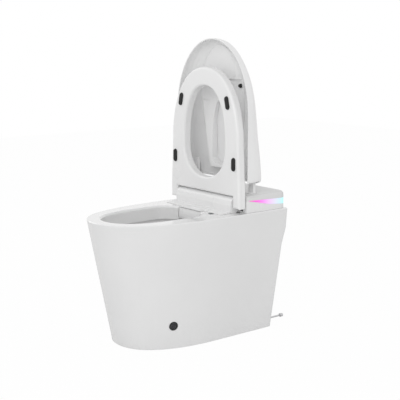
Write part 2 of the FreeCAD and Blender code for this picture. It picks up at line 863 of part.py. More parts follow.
# front apron: a thin plate over the nozzle bay from the bowl's edge to the foot of the roll
apron_low, apron_high = "rim_height + seat_gap", "rim_height + seat_gap + apron_height"
apron = padded("Apron", "YZ_Plane", [
    ("bowl_rear_reach + bowl_lip + 2", apron_low),
    ("bowl_rear_reach + bowl_lip + 2", "rim_height + seat_gap + apron_lip"),
    ("bowl_rear_reach + bowl_lip + 14", "rim_height + seat_gap + apron_height - apron_lip"),
    ("seat_notch_y + roll_gap - seat_gap", apron_high),
    ("seat_notch_y + roll_gap - seat_gap", apron_low),
], "2 * roll_half_width")
spray_way = rod(
    "SprayWay", "z", "spray_hole_radius + 2 + seat_gap", "20", "spray_hole_x", "spray_hole_y",
    "rim_height - 5")
tongue = padded("ApronTongue", "YZ_Plane", [
    ("shield_axis_y - 5", apron_low),
    ("shield_axis_y - 5", "rim_height + seat_gap + apron_lip"),
    ("bowl_rear_reach + bowl_lip + 14", "rim_height + seat_gap + apron_height - apron_lip"),
    ("bowl_rear_reach + bowl_lip + 14", apron_low),
], "2 * shield_half_width")
apron = fuse("ApronWithTongue", apron, tongue)
keep(cut("ApronPlate", apron, spray_way), "front_apron")

# foam spray outlet in the deck: a short flanged sleeve
outlet = turned("SprayOutlet", [
    ("spray_hole_radius - 3", "-china_wall"),
    ("spray_hole_radius", "-china_wall"),
    ("spray_hole_radius", "seat_gap"),
    ("spray_hole_radius + 2", "seat_gap"),
    ("spray_hole_radius + 1", "1.6"),
    ("spray_hole_radius - 3", "0.8"),
])
place(outlet, "spray_hole_x", "spray_hole_y", "rim_height")
keep(outlet, "foam_outlet")

# ---------------------------------------------------------------- seat

def swung(axis_y, axis_height):
    """The turn that raises a closed seat or lid about its hinge line."""
    return Placement(Vector(), Rotation(Vector(1, 0, 0), -s.open_angle), Vector(0, axis_y, axis_height))


SEAT_OPEN = swung(s.seat_axis_y, s.seat_axis_height)
LID_OPEN = swung(s.lid_axis_y, s.lid_axis_height)
SEAT_BOTTOM = s.rim_height + s.lift_gap
SEAT_TOP = SEAT_BOTTOM + s.seat_thickness
SPLIT = SEAT_BOTTOM + s.seat_split


def seat_outline(z, inset):
    """The closed seat's outline: an oval front, sides that widen to two arms, and a notch between."""
    half, outer, inner = s.seat_half_width - inset, s.arm_outer - inset, s.arm_inner + inset
    oval = s.seat_oval - inset
    centre = s.seat_oval - s.seat_tip_reach
    end, notch = s.arm_end_y - inset, s.seat_notch_y - inset
    widen = min(s.rear_bumper_y, notch - 5)
    chamfer = s.seat_notch_chamfer
    right = [
        (half, centre), (outer, widen), (outer, end),
        (inner, end), (inner, notch + chamfer), (inner - chamfer, notch),
    ]
    left = [(-x, y) for x, y in right[::-1]]
    spots = [Vector(x, y, z) for x, y in right + left]
    return Part.Wire([
        half_oval(z, half, oval, s.seat_fullness, centre, -1),
        *[line(a, b) for a, b in zip(spots, spots[1:])],
    ])


def seat_hole(z, grow):
    """The hole in the closed seat."""
    return egg(
        z, s.seat_hole_half_width + grow, s.seat_hole_front + grow, s.seat_hole_rear + grow,
        s.seat_hole_front_oval + grow, s.seat_hole_rear_oval + grow, 2.2)


def seat_slab(stages):
    """A ring of the seat through (height, inset) stages, with its hole."""
    return loft([seat_outline(z, i) for z, i in stages]).cut(loft([seat_hole(z, i) for z, i in stages]))


def heater_ring(low, high, grow):
    """The flat heating ring between two heights."""
    inset = s.heater_margin - grow
    centre = s.seat_oval - s.seat_tip_reach
    outer = [
        egg(z, s.seat_half_width - inset, s.seat_tip_reach - inset, s.seat_notch_y - inset,
            s.seat_oval - inset, min(60, s.seat_notch_y - inset - centre - 5), s.seat_fullness)
        for z in (low, high)
    ]
    return loft(outer).cut(loft([seat_hole(z, inset) for z in (low, high)]))


edge = s.seat_gap
seat_top = seat_slab([
    (SPLIT + edge, 0), (SEAT_TOP - 6, 0), (SEAT_TOP - 3.5, 0.8), (SEAT_TOP - 1.2, 2.8), (SEAT_TOP, 6),
]).cut(heater_ring(SPLIT, SPLIT + edge + s.heater_thickness + edge, 0.5))
seat_base = seat_slab([
    (SEAT_BOTTOM, 6.5), (SEAT_BOTTOM + 1.2, 3.6), (SEAT_BOTTOM + 3.4, 1.2), (SEAT_BOTTOM + 7, 0), (SPLIT, 0),
])
shaft_bore = Part.makeCylinder(
    s.pin_radius + s.run_gap, 2 * (s.arm_outer - 4),
    Vector(-s.arm_outer + 4, s.seat_axis_y, s.seat_axis_height), Vector(1, 0, 0))
keep(feature("SeatTop", seat_top.cut(shaft_bore), SEAT_OPEN), "seat_top")
keep(feature("SeatBase", seat_base, SEAT_OPEN), "seat_underside")
heater = heater_ring(SPLIT + edge, SPLIT + edge + s.heater_thickness, 0)
keep(feature("SeatHeater", heater, SEAT_OPEN), "seat_heater")


def bumper_shape():
    """A rubber bumper under the closed seat: a pad with round ends, softened at its foot."""
    half = s.bumper_width / 2
    straight = s.bumper_length / 2 - half
    def pill(z, inset):
        r = half - inset
        edges = [
            line(Vector(r, -straight, z), Vector(r, straight, z)),
            Part.Arc(Vector(r, straight, z), Vector(0, straight + r, z), Vector(-r, straight, z)).toShape(),
            line(Vector(-r, straight, z), Vector(-r, -straight, z)),
            Part.Arc(
                Vector(-r, -straight, z), Vector(0, -straight - r, z), Vector(r, -straight, z)).toShape(),
        ]
        return Part.Wire(edges)
    top, foot = SEAT_BOTTOM - s.seat_gap, SEAT_BOTTOM - s.bumper_height
    return loft([pill(foot, 1.5), pill(foot + 1.5, 0), pill(top, 0)])


for end, x, y, lean in (
    ("front", s.front_bumper_x, -s.front_bumper_y, s.front_bumper_lean),
    ("rear", s.rear_bumper_x, -s.rear_bumper_y, 0),
):
    for side, sign in (("left", -1), ("right", 1)):
        spot = Placement(Vector(sign * x, y, 0), Rotation(Vector(0, 0, 1), -sign * lean))
        bumper = feature(f"Bumper_{end}_{side}", bumper_shape(), SEAT_OPEN.multiply(spot))
        keep(bumper, f"seat_bumper_{end}_{side}")

# the shaft that turns the seat with the lid, and a soft-close damper round each end of it
shaft = rod(
    "SeatShaft", "x", "pin_radius", "2 * (arm_outer - 5)", "-arm_outer + 5", "seat_axis_y",
    "seat_axis_height")
keep(shaft, "seat_shaft")
damper_body = rod(
    "DamperBody", "x", "roll_radius - roll_wall - seat_gap", "damper_length",
    "roll_half_width - roll_wall - seat_gap - damper_length", "seat_axis_y", "seat_axis_height")
damper_bore = rod("DamperBore", "x", "pin_radius + run_gap", "400", "0", "seat_axis_y", "seat_axis_height")
damper = keep(cut("DamperRight", damper_body, damper_bore), "seat_damper_right")
keep(mirrored("DamperLeft", damper), "seat_damper_left")

# ---------------------------------------------------------------- lid

LID_BOTTOM = SEAT_BOTTOM
LID_TOP = LID_BOTTOM + s.lid_depth


# how far the crown's edge stands in from the rim, from the hinge end (+Y) to the tip
CROWN_STATIONS = [
    (98, 7), (15, 10), (-53, 17), (-133, 27), (-200, 30), (-299, 29), (-335, 25), (-365, 15), (-389, 11),
]
# share of the depth, and the share of the crown's inset reached there
LID_STAGES = [(0, 0), (0.40, 0.05), (0.68, 0.25), (0.86, 0.60), (0.96, 1.0), (1.0, 1.55)]


def crown_inset(y):
    """How far the crown's edge stands in from the rim at a distance along the lid."""
    for (near, first), (far, second) in zip(CROWN_STATIONS, CROWN_STATIONS[1:]):
        if y >= far:
            return first + (second - first) * (min(y, near) - near) / (far - near)
    return CROWN_STATIONS[-1][1]


def lid_depth_at(y):
    """The closed lid's depth, which falls evenly from the hinge end to the tip."""
    return s.lid_depth - s.lid_fall * (s.lid_rear_y - y) / (s.lid_rear_y + s.lid_tip_reach)


def lid_wire(share, crown, grow, lower=0.0):
    """One outline of the closed lid at a share of its depth, drawn in by the crown and by a wall."""
    centre = s.lid_oval - s.lid_tip_reach
    corner = s.lid_rear_corner - grow
    rear = s.lid_rear_y - grow
    def at(x, y):
        return Vector(x, y, LID_BOTTOM + lower + share * (lid_depth_at(y) - grow))
    def drawn(x, y, nx, ny):
        inset = grow + crown * crown_inset(y)
        return at(x - nx * inset, y - ny * inset)
    right = [drawn(s.lid_half_width, y, 1, 0) for y in (rear - corner, 10, -60)]
    right += [
        drawn(s.lid_half_width * math.cos(turn), centre - s.lid_oval * math.sin(turn),
              *oval_normal(s.lid_half_width, s.lid_oval, turn))
        for turn in (math.radians(degrees) for degrees in range(0, 90, 12))
    ]
    tip = drawn(0, centre - s.lid_oval, 0, -1)
    left = [Vector(-spot.x, spot.y, spot.z) for spot in right[::-1]]
    curve = Part.BSplineCurve()
    curve.interpolate(Points=left[::-1] + [tip] + right[::-1])
    half = right[0].x
    bend = math.sqrt(0.5) * corner
    ends = [at(half, rear - corner), at(half - corner + bend, rear - corner + bend), at(half - corner, rear)]
    mirror = [Vector(-spot.x, spot.y, spot.z) for spot in ends]
    return Part.Wire([
        curve.toShape(),
        Part.Arc(*ends).toShape(),
        line(ends[2], mirror[2]),
        Part.Arc(*mirror[::-1]).toShape(),
    ])


def oval_normal(half_width, length, turn):
    """The outward direction of an oval nose towards -Y at a turn from its side."""
    across, along = math.cos(turn) / half_width, -math.sin(turn) / length
    size = math.hypot(across, along)
    return across / size, along / size


def lid_form(grow, start):
    """The lid's crowned form, drawn in by a wall, from a little below its rim."""
    wires = [lid_wire(0, 0, grow, start)]
    wires += [lid_wire(share, crown, grow) for share, crown in LID_STAGES[1:]]
    return loft(wires)


POST_FOOT = SEAT_TOP + 8


def lid_shape():
    """The lid's shell: open below, open at the rear beneath a lip, with a post for each rubber stop."""
    wall = s.lid_wall
    inside_half = s.lid_half_width - wall - 1
    low = LID_TOP - s.lid_rear_lip - s.lid_depth
    ways = [Part.makeBox(2 * inside_half, 60, s.lid_depth, Vector(-inside_half, s.lid_rear_y - 40, low))]
    arm_half = s.lid_arm_width / 2 + s.seat_gap
    for side in (-1, 1):
        corner = Vector(side * s.lid_arm_x - arm_half, s.lid_rear_y - 22, LID_BOTTOM)
        ways.append(Part.makeBox(2 * arm_half, 40, ARM_TOP + s.seat_gap - LID_BOTTOM, corner))
    post_top = LID_BOTTOM + lid_depth_at(-s.lid_bumper_y) - wall / 2
    posts = [
        Part.makeCylinder(
            s.lid_bumper_radius + 2, post_top - POST_FOOT,
            Vector(side * s.lid_bumper_x, -s.lid_bumper_y, POST_FOOT))
        for side in (-1, 1)
    ]
    return lid_form(0, 0).cut(lid_form(wall, -1)).cut(ways).fuse(posts)


ARM_TOP = s.lid_axis_height + s.knuckle_radius + s.lid_arm_rise
keep(feature("LidShell", lid_shape(), LID_OPEN), "lid_shell")


def liner_outline(inset, skirt=0.0, lift=0.0):
    """The liner's egg: flat at its face, or where its sloping skirt passes the lid's inner floor."""
    half = s.liner_half_width - inset + skirt
    rear_half = s.liner_rear_half_width - inset + skirt
    widest = -s.liner_widest_y
    length = s.liner_tip_reach - s.liner_widest_y - inset
    rear = s.liner_rear_y - inset
    def at(x, y):
        return Vector(x, y, LID_BOTTOM + lid_depth_at(y) + 1 if skirt else s.liner_height + lift)
    right = [
        at(rear_half, rear),
        at(half * 0.35 + rear_half * 0.65, rear * 0.5 + widest * 0.2),
        at(half * 0.82 + rear_half * 0.18, widest * 0.6),
    ]
    right += [
        at(half * math.cos(turn), widest - length * math.sin(turn))
        for turn in (math.radians(degrees) for degrees in range(0, 90, 15))
    ]
    left = [Vector(-spot.x, spot.y, spot.z) for spot in right]
    curve = Part.BSplineCurve()
    curve.interpolate(Points=right + [at(0, widest - length)] + left[::-1])
    return Part.Wire([curve.toShape(), line(left[0], right[0])])


def hollow_form(grow):
    """The long hollow in the liner's middle, carried right through the lid."""
    return loft([
        egg(z, s.hollow_half_width + grow, s.hollow_front_y + grow, s.liner_rear_y - 14 + grow,
            150 + grow, 20 + grow, 2.0)
        for z in (s.liner_height - 1, LID_TOP)
    ])


def pocket_form(side, grow, top):
    """The square pocket round a rubber stop, up to a height."""
    width = s.pocket_outer_x - s.pocket_inner_x + 2 * grow
    length = s.pocket_front_y - s.pocket_rear_y + 2 * grow
    start = s.pocket_inner_x - grow if side > 0 else -s.pocket_outer_x - grow
    low = s.liner_height - 1
    return Part.makeBox(width, length, top - low, Vector(start, -s.pocket_front_y - grow, low))


def liner_shape():
    """The lid's inner panel: a raised egg with sloping sides, a long hollow, and a pocket for each stop."""
    thick = s.liner_thickness
    limit = lid_form(s.lid_wall + 0.6, -1)
    raised = loft([liner_outline(0.8), liner_outline(0, lift=0.8), liner_outline(0, s.liner_skirt)])
    raised = raised.common(limit)
    under = loft([liner_outline(1.2, lift=thick), liner_outline(thick, s.liner_skirt)])
    pocket_top = LID_BOTTOM + lid_depth_at(-s.pocket_front_y) - s.lid_wall - 0.6 - 1.8
    cups = [raised.common(pocket_form(side, 1.8, pocket_top + 1.8)) for side in (-1, 1)]
    cups.append(raised.common(hollow_form(1.8)))
    posts = []
    for x, y in ((70, -s.liner_widest_y - 62), (56, 20)):
        start = s.liner_height + 1
        top = LID_BOTTOM + lid_depth_at(y) - s.lid_wall - s.seat_gap - 0.4
        posts += [Part.makeCylinder(6, top - start, Vector(sign * x, y, start)) for sign in (-1, 1)]
    gaps = [hollow_form(0)]
    for side in (-1, 1):
        gaps.append(pocket_form(side, 0, pocket_top))
        gaps.append(Part.makeCylinder(
            s.lid_bumper_radius + 2.6, s.lid_depth,
            Vector(side * s.lid_bumper_x, -s.lid_bumper_y, s.liner_height - 1)))
    return raised.cut(under).fuse([*cups, *posts]).cut(gaps)


keep(feature("LidLiner", liner_shape(), LID_OPEN), "lid_liner")

for side, sign in (("left", -1), ("right", 1)):
    stop = Part.makeCylinder(
        s.lid_bumper_radius, POST_FOOT - SEAT_TOP - 2 * s.seat_gap,
        Vector(sign * s.lid_bumper_x, -s.lid_bumper_y, SEAT_TOP + s.seat_gap))
    stop = stop.makeFillet(2, [stop.Edges[2]])
    keep(feature(f"LidStop_{side}", stop, LID_OPEN), f"lid_bumper_{side}")


def lid_arm_shape():
    """A lid arm, lid closed: a knuckle on the hinge line, a bar forward and a pad up to the lid."""
    width, half = s.lid_arm_width, s.lid_arm_width / 2
    start = Vector(s.lid_arm_x - half, s.lid_axis_y, s.lid_axis_height)
    knuckle = Part.makeCylinder(s.knuckle_radius, width, start, Vector(1, 0, 0))
    bar_low = ARM_TOP - s.lid_arm_thickness
    back = s.lid_axis_y
    corners = [
        (back + s.knuckle_radius * 0.7, s.lid_axis_height + s.knuckle_radius * 0.7),
        (back - 1, ARM_TOP),
        (back - s.lid_arm_length, ARM_TOP),
        (back - s.lid_arm_length, bar_low),
        (back - s.knuckle_radius, bar_low),
        (back - s.knuckle_radius, s.lid_axis_height),
    ]
    neck = side_arm(corners, start.x, width)
    pad = Part.makeBox(
        width - 4, 22, LID_TOP - ARM_TOP + 1, Vector(start.x + 2, back - s.lid_arm_length, ARM_TOP - 1))
    pad = pad.common(lid_form(s.lid_wall + s.seat_gap, -1))
    bore = Part.makeCylinder(
        s.pin_radius + s.run_gap, width + 2, start - Vector(1, 0, 0), Vector(1, 0, 0))
    return knuckle.fuse([neck, pad]).cut(bore)


def side_arm(corners, x, width):
    """A bar of constant width from corners given as (y, z)."""
    face = Part.Face(Part.makePolygon([Vector(x, y, z) for y, z in corners + corners[:1]]))
    return face.extrude(Vector(width, 0, 0))


arm = keep(feature("LidArmRight", lid_arm_shape(), LID_OPEN), "lid_arm_right")
keep(mirrored("LidArmLeft", arm), "lid_arm_left")

# lid pins, and the bearing block that each turns in
pin_start = "lid_arm_x - lid_arm_width / 2 - 20"
pin = keep(
    rod("LidPinRight", "x", "pin_radius", "lid_arm_width + 18", pin_start, "lid_axis_y", "lid_axis_height"),
    "lid_pin_right")
keep(mirrored("LidPinLeft", pin), "lid_pin_left")
block_floor = "tub_floor + tub_wall + seat_gap"
bearing_body = box(
    "BearingBody", ("lid_arm_x - lid_arm_width / 2 - 22", "lid_arm_x - lid_arm_width / 2 - 4.5"),
    ("lid_axis_y - 11", "lid_axis_y + 11"), (block_floor, "housing_height - cover_wall - 1"))
bearing_bore = rod("BearingBore", "x", "pin_radius + run_gap", "400", "0", "lid_axis_y", "lid_axis_height")
bearing = keep(cut("BearingRight", bearing_body, bearing_bore), "lid_bearing_right")
keep(mirrored("BearingLeft", bearing), "lid_bearing_left")

# ---------------------------------------------------------------- washing nozzle

# everything that slides is drawn along +Z of its own frame, which then leans forward and down
SLOPE = math.radians(s.nozzle_slope)
NOZZLE_WAY = Vector(0, -math.cos(SLOPE), -math.sin(SLOPE))
NOZZLE_FRAME = Placement(
    Vector(0, s.nozzle_tip_y, s.nozzle_tip_height),
    Rotation(Vector(1, 0, 0), 90 + s.nozzle_slope),
)


def along_nozzle(thing):
    """Lay a piece along the nozzle's own axis, its origin at the nozzle's tip at rest."""
    thing.Placement = NOZZLE_FRAME
    return thing


wand = turned("Wand", [
    ("0", "-wand_length"),
    ("wand_radius", "-wand_length"),
    ("wand_radius", "-16"),
    ("wand_radius - 1.2", "-16"),
    ("wand_radius - 1.2", "-10"),
    ("0", "-10"),
])
keep(along_nozzle(wand), "nozzle_wand")
tip = turned("Tip", [
    ("0", "-10 + seat_gap"),
    ("wand_radius", "-10 + seat_gap"),
    ("wand_radius", "-2.5"),
    ("wand_radius - 1", "-0.7"),
    ("wand_radius - 2.6", "0"),
    ("0", "0"),
])
tip_base = along_nozzle(tip)
jets = []
for number, offset in enumerate((-2.6, 0, 2.6)):
    jet = rod(f"Jet{number}", "z", "0.7", "6")
    start = NOZZLE_FRAME.multVec(Vector(offset, s.wand_radius - 2.5, -5.5))
    jet.Placement = Placement(start, Rotation(Vector(1, 0, 0), s.nozzle_slope))
    jets.append(jet)
keep(cut("NozzleTip", tip_base, *jets), "nozzle_tip")

rail_inner = s.wand_radius + s.seat_gap
rail_outer = rail_inner + s.rail_wall
RAIL_START, RAIL_END = 14, s.wand_length + 6


def rail_shape():
    """The rail under the wand: an open channel with a closed rear end and a foot on the tub's floor."""
    length = RAIL_END - RAIL_START
    channel = Part.makeBox(2 * rail_outer, rail_outer, length, Vector(-rail_outer, -rail_outer, -RAIL_END))
    groove = Part.makeBox(2 * rail_inner, rail_inner + 1, length - s.rail_wall + 1,
                          Vector(-rail_inner, -rail_inner, -RAIL_END + s.rail_wall))
    lean = NOZZLE_FRAME.toMatrix()
    feet = []
    rests = (s.wand_length - 12, s.tub_floor + s.tub_wall), (RAIL_START + 14, s.rim_height - s.tray_depth)
    for back, floor in rests:
        under = NOZZLE_FRAME.multVec(Vector(0, -rail_inner - s.rail_wall / 2, -back))
        start = Vector(-rail_outer, under.y - 6, floor + s.seat_gap)
        feet.append(Part.makeBox(2 * rail_outer, 12, under.z - start.z, start))
    groove = groove.transformed(lean, True)
    return channel.transformed(lean, True).fuse(feet).cut(groove)


keep(feature("Rail", rail_shape()), "nozzle_rail")

floor_height = "(tub_floor + tub_wall + seat_gap)"
motor_case = box("MotorCase", ("wand_radius + rail_wall + 2 * seat_gap", "wand_radius + rail_wall + 24"),
                 ("tub_front + tub_wall + seat_gap", "tub_front + 34"), (floor_height, "tub_floor + 44"))
motor_can = rod(
    "MotorCan", "x", "13", "20", "wand_radius + rail_wall + 23", "tub_front + 19", "tub_floor + 26")
keep(fuse("NozzleMotor", motor_case, motor_can), "nozzle_motor")

# tray that fills the nozzle bay: a top-hat channel hung on the deck
tray_half = "(nozzle_bay_half_width - seat_gap)"
tray_top = "(rim_height + seat_gap)"
tray = padded("Tray", "XZ_Plane", [
    (f"-{tray_half} + 2", f"{tray_top} - 2 * seat_gap"),
    (f"-{tray_half}", f"{tray_top} - 2 * seat_gap"),
    (f"-{tray_half}", "rim_height - tray_depth - 2"),
    (f"{tray_half}", "rim_height - tray_depth - 2"),
    (f"{tray_half}", f"{tray_top} - 2 * seat_gap"),
    (f"{tray_half} - 2", f"{tray_top} - 2 * seat_gap"),
    (f"{tray_half} - 2", "rim_height - tray_depth"),
    (f"-{tray_half} + 2", "rim_height - tray_depth"),
], "bay_front - shield_axis_y - 6 - seat_gap", centred=False)
place(tray, y="bay_front - seat_gap")
ear = box("Ear", (f"{tray_half} - 2", tray_half), ("shield_axis_y - 4", "shield_axis_y + 8"),
          ("shield_axis_height - 5", f"{tray_top} - 2 * seat_gap"))
pin_bore = rod("ShieldPinBore", "x", "shield_pin_radius + run_gap", "2 * nozzle_bay_half_width + 2",
               "-nozzle_bay_half_width - 1", "shield_axis_y", "shield_axis_height")
tray_body = fuse("TrayWithEars", tray, ear, mirrored("EarLeft", ear))
keep(cut("NozzleTray", tray_body, pin_bore), "nozzle_tray")

# shield that hangs in front of the nozzle, and the pin it turns on
shield_pin = rod(
    "ShieldPin", "x", "shield_pin_radius", f"2 * {tray_half}", f"-{tray_half}", "shield_axis_y",
    "shield_axis_height")
keep(shield_pin, "shield_pin")
shield_plate = padded("ShieldPlate", "YZ_Plane", [
    ("shield_axis_y - shield_thickness / 2 - 1.5", "shield_axis_height"),
    ("shield_axis_y - shield_thickness / 2 - shield_bulge * 0.8", "shield_axis_height - shield_height * 0.25"),
    ("shield_axis_y - shield_thickness / 2 - shield_bulge", "shield_axis_height - shield_height * 0.5"),
    ("shield_axis_y - shield_thickness / 2 - shield_bulge * 0.75", "shield_axis_height - shield_height * 0.8"),
    ("shield_axis_y - shield_thickness / 2", "shield_axis_height - shield_height"),
    ("shield_axis_y + shield_thickness / 2", "shield_axis_height - shield_height"),
    ("shield_axis_y + shield_thickness / 2 - shield_bulge", "shield_axis_height - shield_height * 0.5"),
    ("shield_axis_y + shield_thickness / 2", "shield_axis_height"),
], "2 * shield_half_width")
shield_knuckle = rod(
    "ShieldKnuckle", "x", "shield_pin_radius + 1.7", "2 * shield_half_width", "-shield_half_width",
    "shield_axis_y", "shield_axis_height")
shield = fuse("ShieldBody", shield_plate, shield_knuckle)
keep(cut("Shield", shield, pin_bore), "nozzle_shield")

# ---------------------------------------------------------------- warm-air dryer

duct_half = "(duct_width / 2)"
blower_front = "(blower_y - blower_radius - 4)"
duct_skin = box(
    "DuctSkin", (f"duct_x - {duct_half}", f"duct_x + {duct_half}"), ("duct_front_y", blower_front),
    ("duct_bottom", "duct_bottom + duct_height"))
duct_hollow = box("DuctHollow", (f"duct_x - {duct_half} + duct_wall", f"duct_x + {duct_half} - duct_wall"),
                  ("duct_front_y - 1", f"{blower_front} + 1"),
                  ("duct_bottom + duct_wall", "duct_bottom + duct_height - duct_wall"))
flap_y, flap_z = "(duct_front_y + 3)", "(duct_bottom + duct_height - duct_wall - 3)"
flap_pin = rod("FlapPin", "x", "1.2", "duct_width - 0.2", f"duct_x - {duct_half} + 0.1", flap_y, flap_z)
flap_bore = rod(
    "FlapBore", "x", "1.2 + run_gap", "duct_width + 2", f"duct_x - {duct_half} - 1", flap_y, flap_z)
keep(cut("DryerDuct", duct_skin, duct_hollow, flap_bore), "dryer_duct")
flap_half = "(duct_width / 2 - duct_wall - 0.5)"
flap_plate = box(
    "FlapPlate", (f"duct_x - {flap_half}", f"duct_x + {flap_half}"), (f"{flap_y} - 0.8", f"{flap_y} + 0.8"),
    ("duct_bottom + duct_wall + 0.6", flap_z))
flap_knuckle = rod("FlapKnuckle", "x", "2.4", f"2 * {flap_half}", f"duct_x - {flap_half}", flap_y, flap_z)
keep(fuse("DryerFlap", flap_plate, flap_knuckle, flap_pin), "dryer_flap")

case_z = (floor_height, f"{floor_height} + blower_height")
case_round = rod("CaseRound", "z", "blower_radius", "blower_height", "blower_x", "blower_y", floor_height)
spout = box(
    "Spout", (f"duct_x - {duct_half}", f"duct_x + {duct_half}"), (f"{blower_front} + seat_gap", "blower_y"),
    ("duct_bottom", "duct_bottom + duct_height"))
case_hollow = rod("CaseHollow", "z", "blower_radius - duct_wall", "blower_height - 2 * duct_wall",
                  "blower_x", "blower_y", f"{floor_height} + duct_wall")
spout_hollow = box("SpoutHollow", (f"duct_x - {duct_half} + duct_wall", f"duct_x + {duct_half} - duct_wall"),
                   (f"{blower_front} - 1", "blower_y"),
                   ("duct_bottom + duct_wall", "duct_bottom + duct_height - duct_wall"))
eye = rod("BlowerEye", "z", "4", "blower_height + 5", "blower_x", "blower_y", f"{floor_height} + duct_wall")
case = fuse("CaseWithSpout", case_round, spout)
keep(cut("BlowerCase", case, case_hollow, spout_hollow, eye), "blower_case")

rotor_bottom = f"({floor_height} + duct_wall + 1.5)"
rotor_height = "(blower_height - 2 * duct_wall - 3)"
hub = rod("RotorHub", "z", "6", rotor_height, "blower_x", "blower_y", rotor_bottom)
disc = rod("RotorDisc", "z", "rotor_radius", "1.6", "blower_x", "blower_y", rotor_bottom)
blades = []
BLADES = 12
for number in range(BLADES):
    blade = doc.addObject("Part::Box", f"Blade{number}")
    bind(blade, Length="rotor_radius * 0.34", Width="1.2", Height=rotor_height)
    turn = 360 / BLADES * number
    place(
        blade, f"blower_x + rotor_radius * 0.66 * cos({turn})",
        f"blower_y + rotor_radius * 0.66 * sin({turn})", rotor_bottom)
    blade.Placement = Placement(blade.Placement.Base, Rotation(Vector(0, 0, 1), turn))
    blades.append(blade)
rotor_bore = rod("RotorBore", "z", "2 + run_gap", "blower_height", "blower_x", "blower_y", floor_height)
keep(cut("BlowerRotor", fuse("RotorSolid", hub, disc, *blades), rotor_bore), "blower_rotor")
motor_low = f"({floor_height} + blower_height + seat_gap)"
fan_can = rod("FanCan", "z", "14", "22", "blower_x", "blower_y", motor_low)
fan_shaft = rod(
    "FanShaft", "z", "2", "blower_height - 6", "blower_x", "blower_y", f"{floor_height} + 6 + seat_gap")
keep(fuse("BlowerMotor", fan_can, fan_shaft), "blower_motor")

# ---------------------------------------------------------------- water works and electronics

heater_x = "(-tub_half_width + tub_wall + 5)"
heater_y = ("tub_rear - tub_wall - 5 - heater_width", "tub_rear - tub_wall - 5")
tank = padded("HeaterTank", "XY_Plane", [
    (heater_x, heater_y[0]),
    (f"{heater_x} + heater_length", heater_y[0]),
    (f"{heater_x} + heater_length", heater_y[1]),
    (heater_x, heater_y[1]),
], "heater_height", centred=False)
place(tank, z=floor_height)
keep(rounded(tank, "8", runs_along(2)), "water_heater")

valve_x = "(-wand_radius - rail_wall - 8 - valve_length)"
valve_y = "(tub_front + tub_wall + 3)"
block = padded("ValveBlock", "XY_Plane", [
    (valve_x, valve_y),
    (f"{valve_x} + valve_length", valve_y),
    (f"{valve_x} + valve_length", f"{valve_y} + valve_width * 0.6"),
    (f"{valve_x} + valve_length * 0.7", f"{valve_y} + valve_width"),
    (valve_x, f"{valve_y} + valve_width"),
], "valve_height", centred=False)
place(block, z=floor_height)
keep(block, "valve_block")
coils = []
for number in range(3):
    spot = (f"{valve_x} + valve_length * {0.18 + 0.3 * number:.2f}", f"{valve_y} + valve_width * 0.36")
    can = rod(
        f"Coil{number}", "z", "coil_radius", "coil_height", *spot,
        f"{floor_height} + valve_height + seat_gap")
    stem = rod(
        f"CoilStem{number}", "z", "coil_radius * 0.45", "coil_height + 4", *spot,
        f"{floor_height} + valve_height + seat_gap")
    coils.append(fuse(f"Solenoid{number}", can, stem))
coil_group = doc.addObject("Part::Compound", "Solenoids")
coil_group.Links = coils
keep(coil_group, "solenoid_coils")

supply_y = ("tub_rear - tub_wall - 3 - supply_width", "tub_rear - tub_wall - 3")
supply_x = ("supply_x - supply_length / 2", "supply_x + supply_length / 2")
supply_case = box("SupplyCase", supply_x, supply_y, (floor_height, f"{floor_height} + supply_height"))
keep(supply_case, "power_supply")
standoffs = []
for number, (x, y) in enumerate((x, y) for x in (0, 1) for y in (0, 1)):
    spot = [
        f"{ends[0]} + board_inset + 5 + {side} * ({ends[1]} - ({ends[0]}) - 2 * board_inset - 10)"
        for ends, side in ((supply_x, x), (supply_y, y))
    ]
    standoffs.append(rod(
        f"Standoff{number}", "z", "2.5", "standoff_height", *spot,
        f"{floor_height} + supply_height + seat_gap"))
standoff_group = doc.addObject("Part::Compound", "Standoffs")
standoff_group.Links = standoffs
keep(standoff_group, "board_standoffs")
board_z = f"({floor_height} + supply_height + standoff_height + 2 * seat_gap)"
keep(box("ControlBoard", (f"{supply_x[0]} + board_inset", f"{supply_x[1]} - board_inset"),
         (f"{supply_y[0]} + board_inset", f"{supply_y[1]} - board_inset"),
         (board_z, f"{board_z} + board_thickness")), "control_board")

# flush valve hung under the tub, and the pipe from it to the bowl's flush channel
flush_body = box("FlushBody", ("-flush_valve_width / 2", "flush_valve_width / 2"),
                 ("flush_valve_y", "flush_valve_y + flush_valve_length"),
                 ("flush_height - flush_pipe_radius - 14", "tub_floor - seat_gap"))
keep(flush_body, "flush_valve")
pipe_start = "(bowl_rear_reach + channel_depth + 3)"
pipe_skin = rod(
    "PipeSkin", "y", "flush_pipe_radius - seat_gap", f"flush_valve_y - seat_gap - {pipe_start}", "0",
    pipe_start, "flush_height")
pipe_bore = rod(
    "PipeBore", "y", "flush_pipe_radius - 3", "flush_valve_y", "0", f"{pipe_start} - 1", "flush_height")
keep(cut("FlushPipe", pipe_skin, pipe_bore), "flush_pipe")


def piped(spots, turn, radius):
    """A round tube along straight runs with a quarter turn at each inner spot."""
    edges, start = [], spots[0]
    for before, here, after in zip(spots, spots[1:], spots[2:]):
        way_in, way_out = (here - before).normalize(), (after - here).normalize()
        first, last = here - way_in * turn, here + way_out * turn
        middle = here + (way_out - way_in) * turn * (1 - math.sqrt(0.5))
        edges += [line(start, first), Part.Arc(first, middle, last).toShape()]
        start = last
    edges.append(line(start, spots[-1]))
    ring = Part.Wire([Part.makeCircle(radius, spots[0], spots[1] - spots[0])])
    return Part.Wire(edges).makePipeShell([ring], True, False)


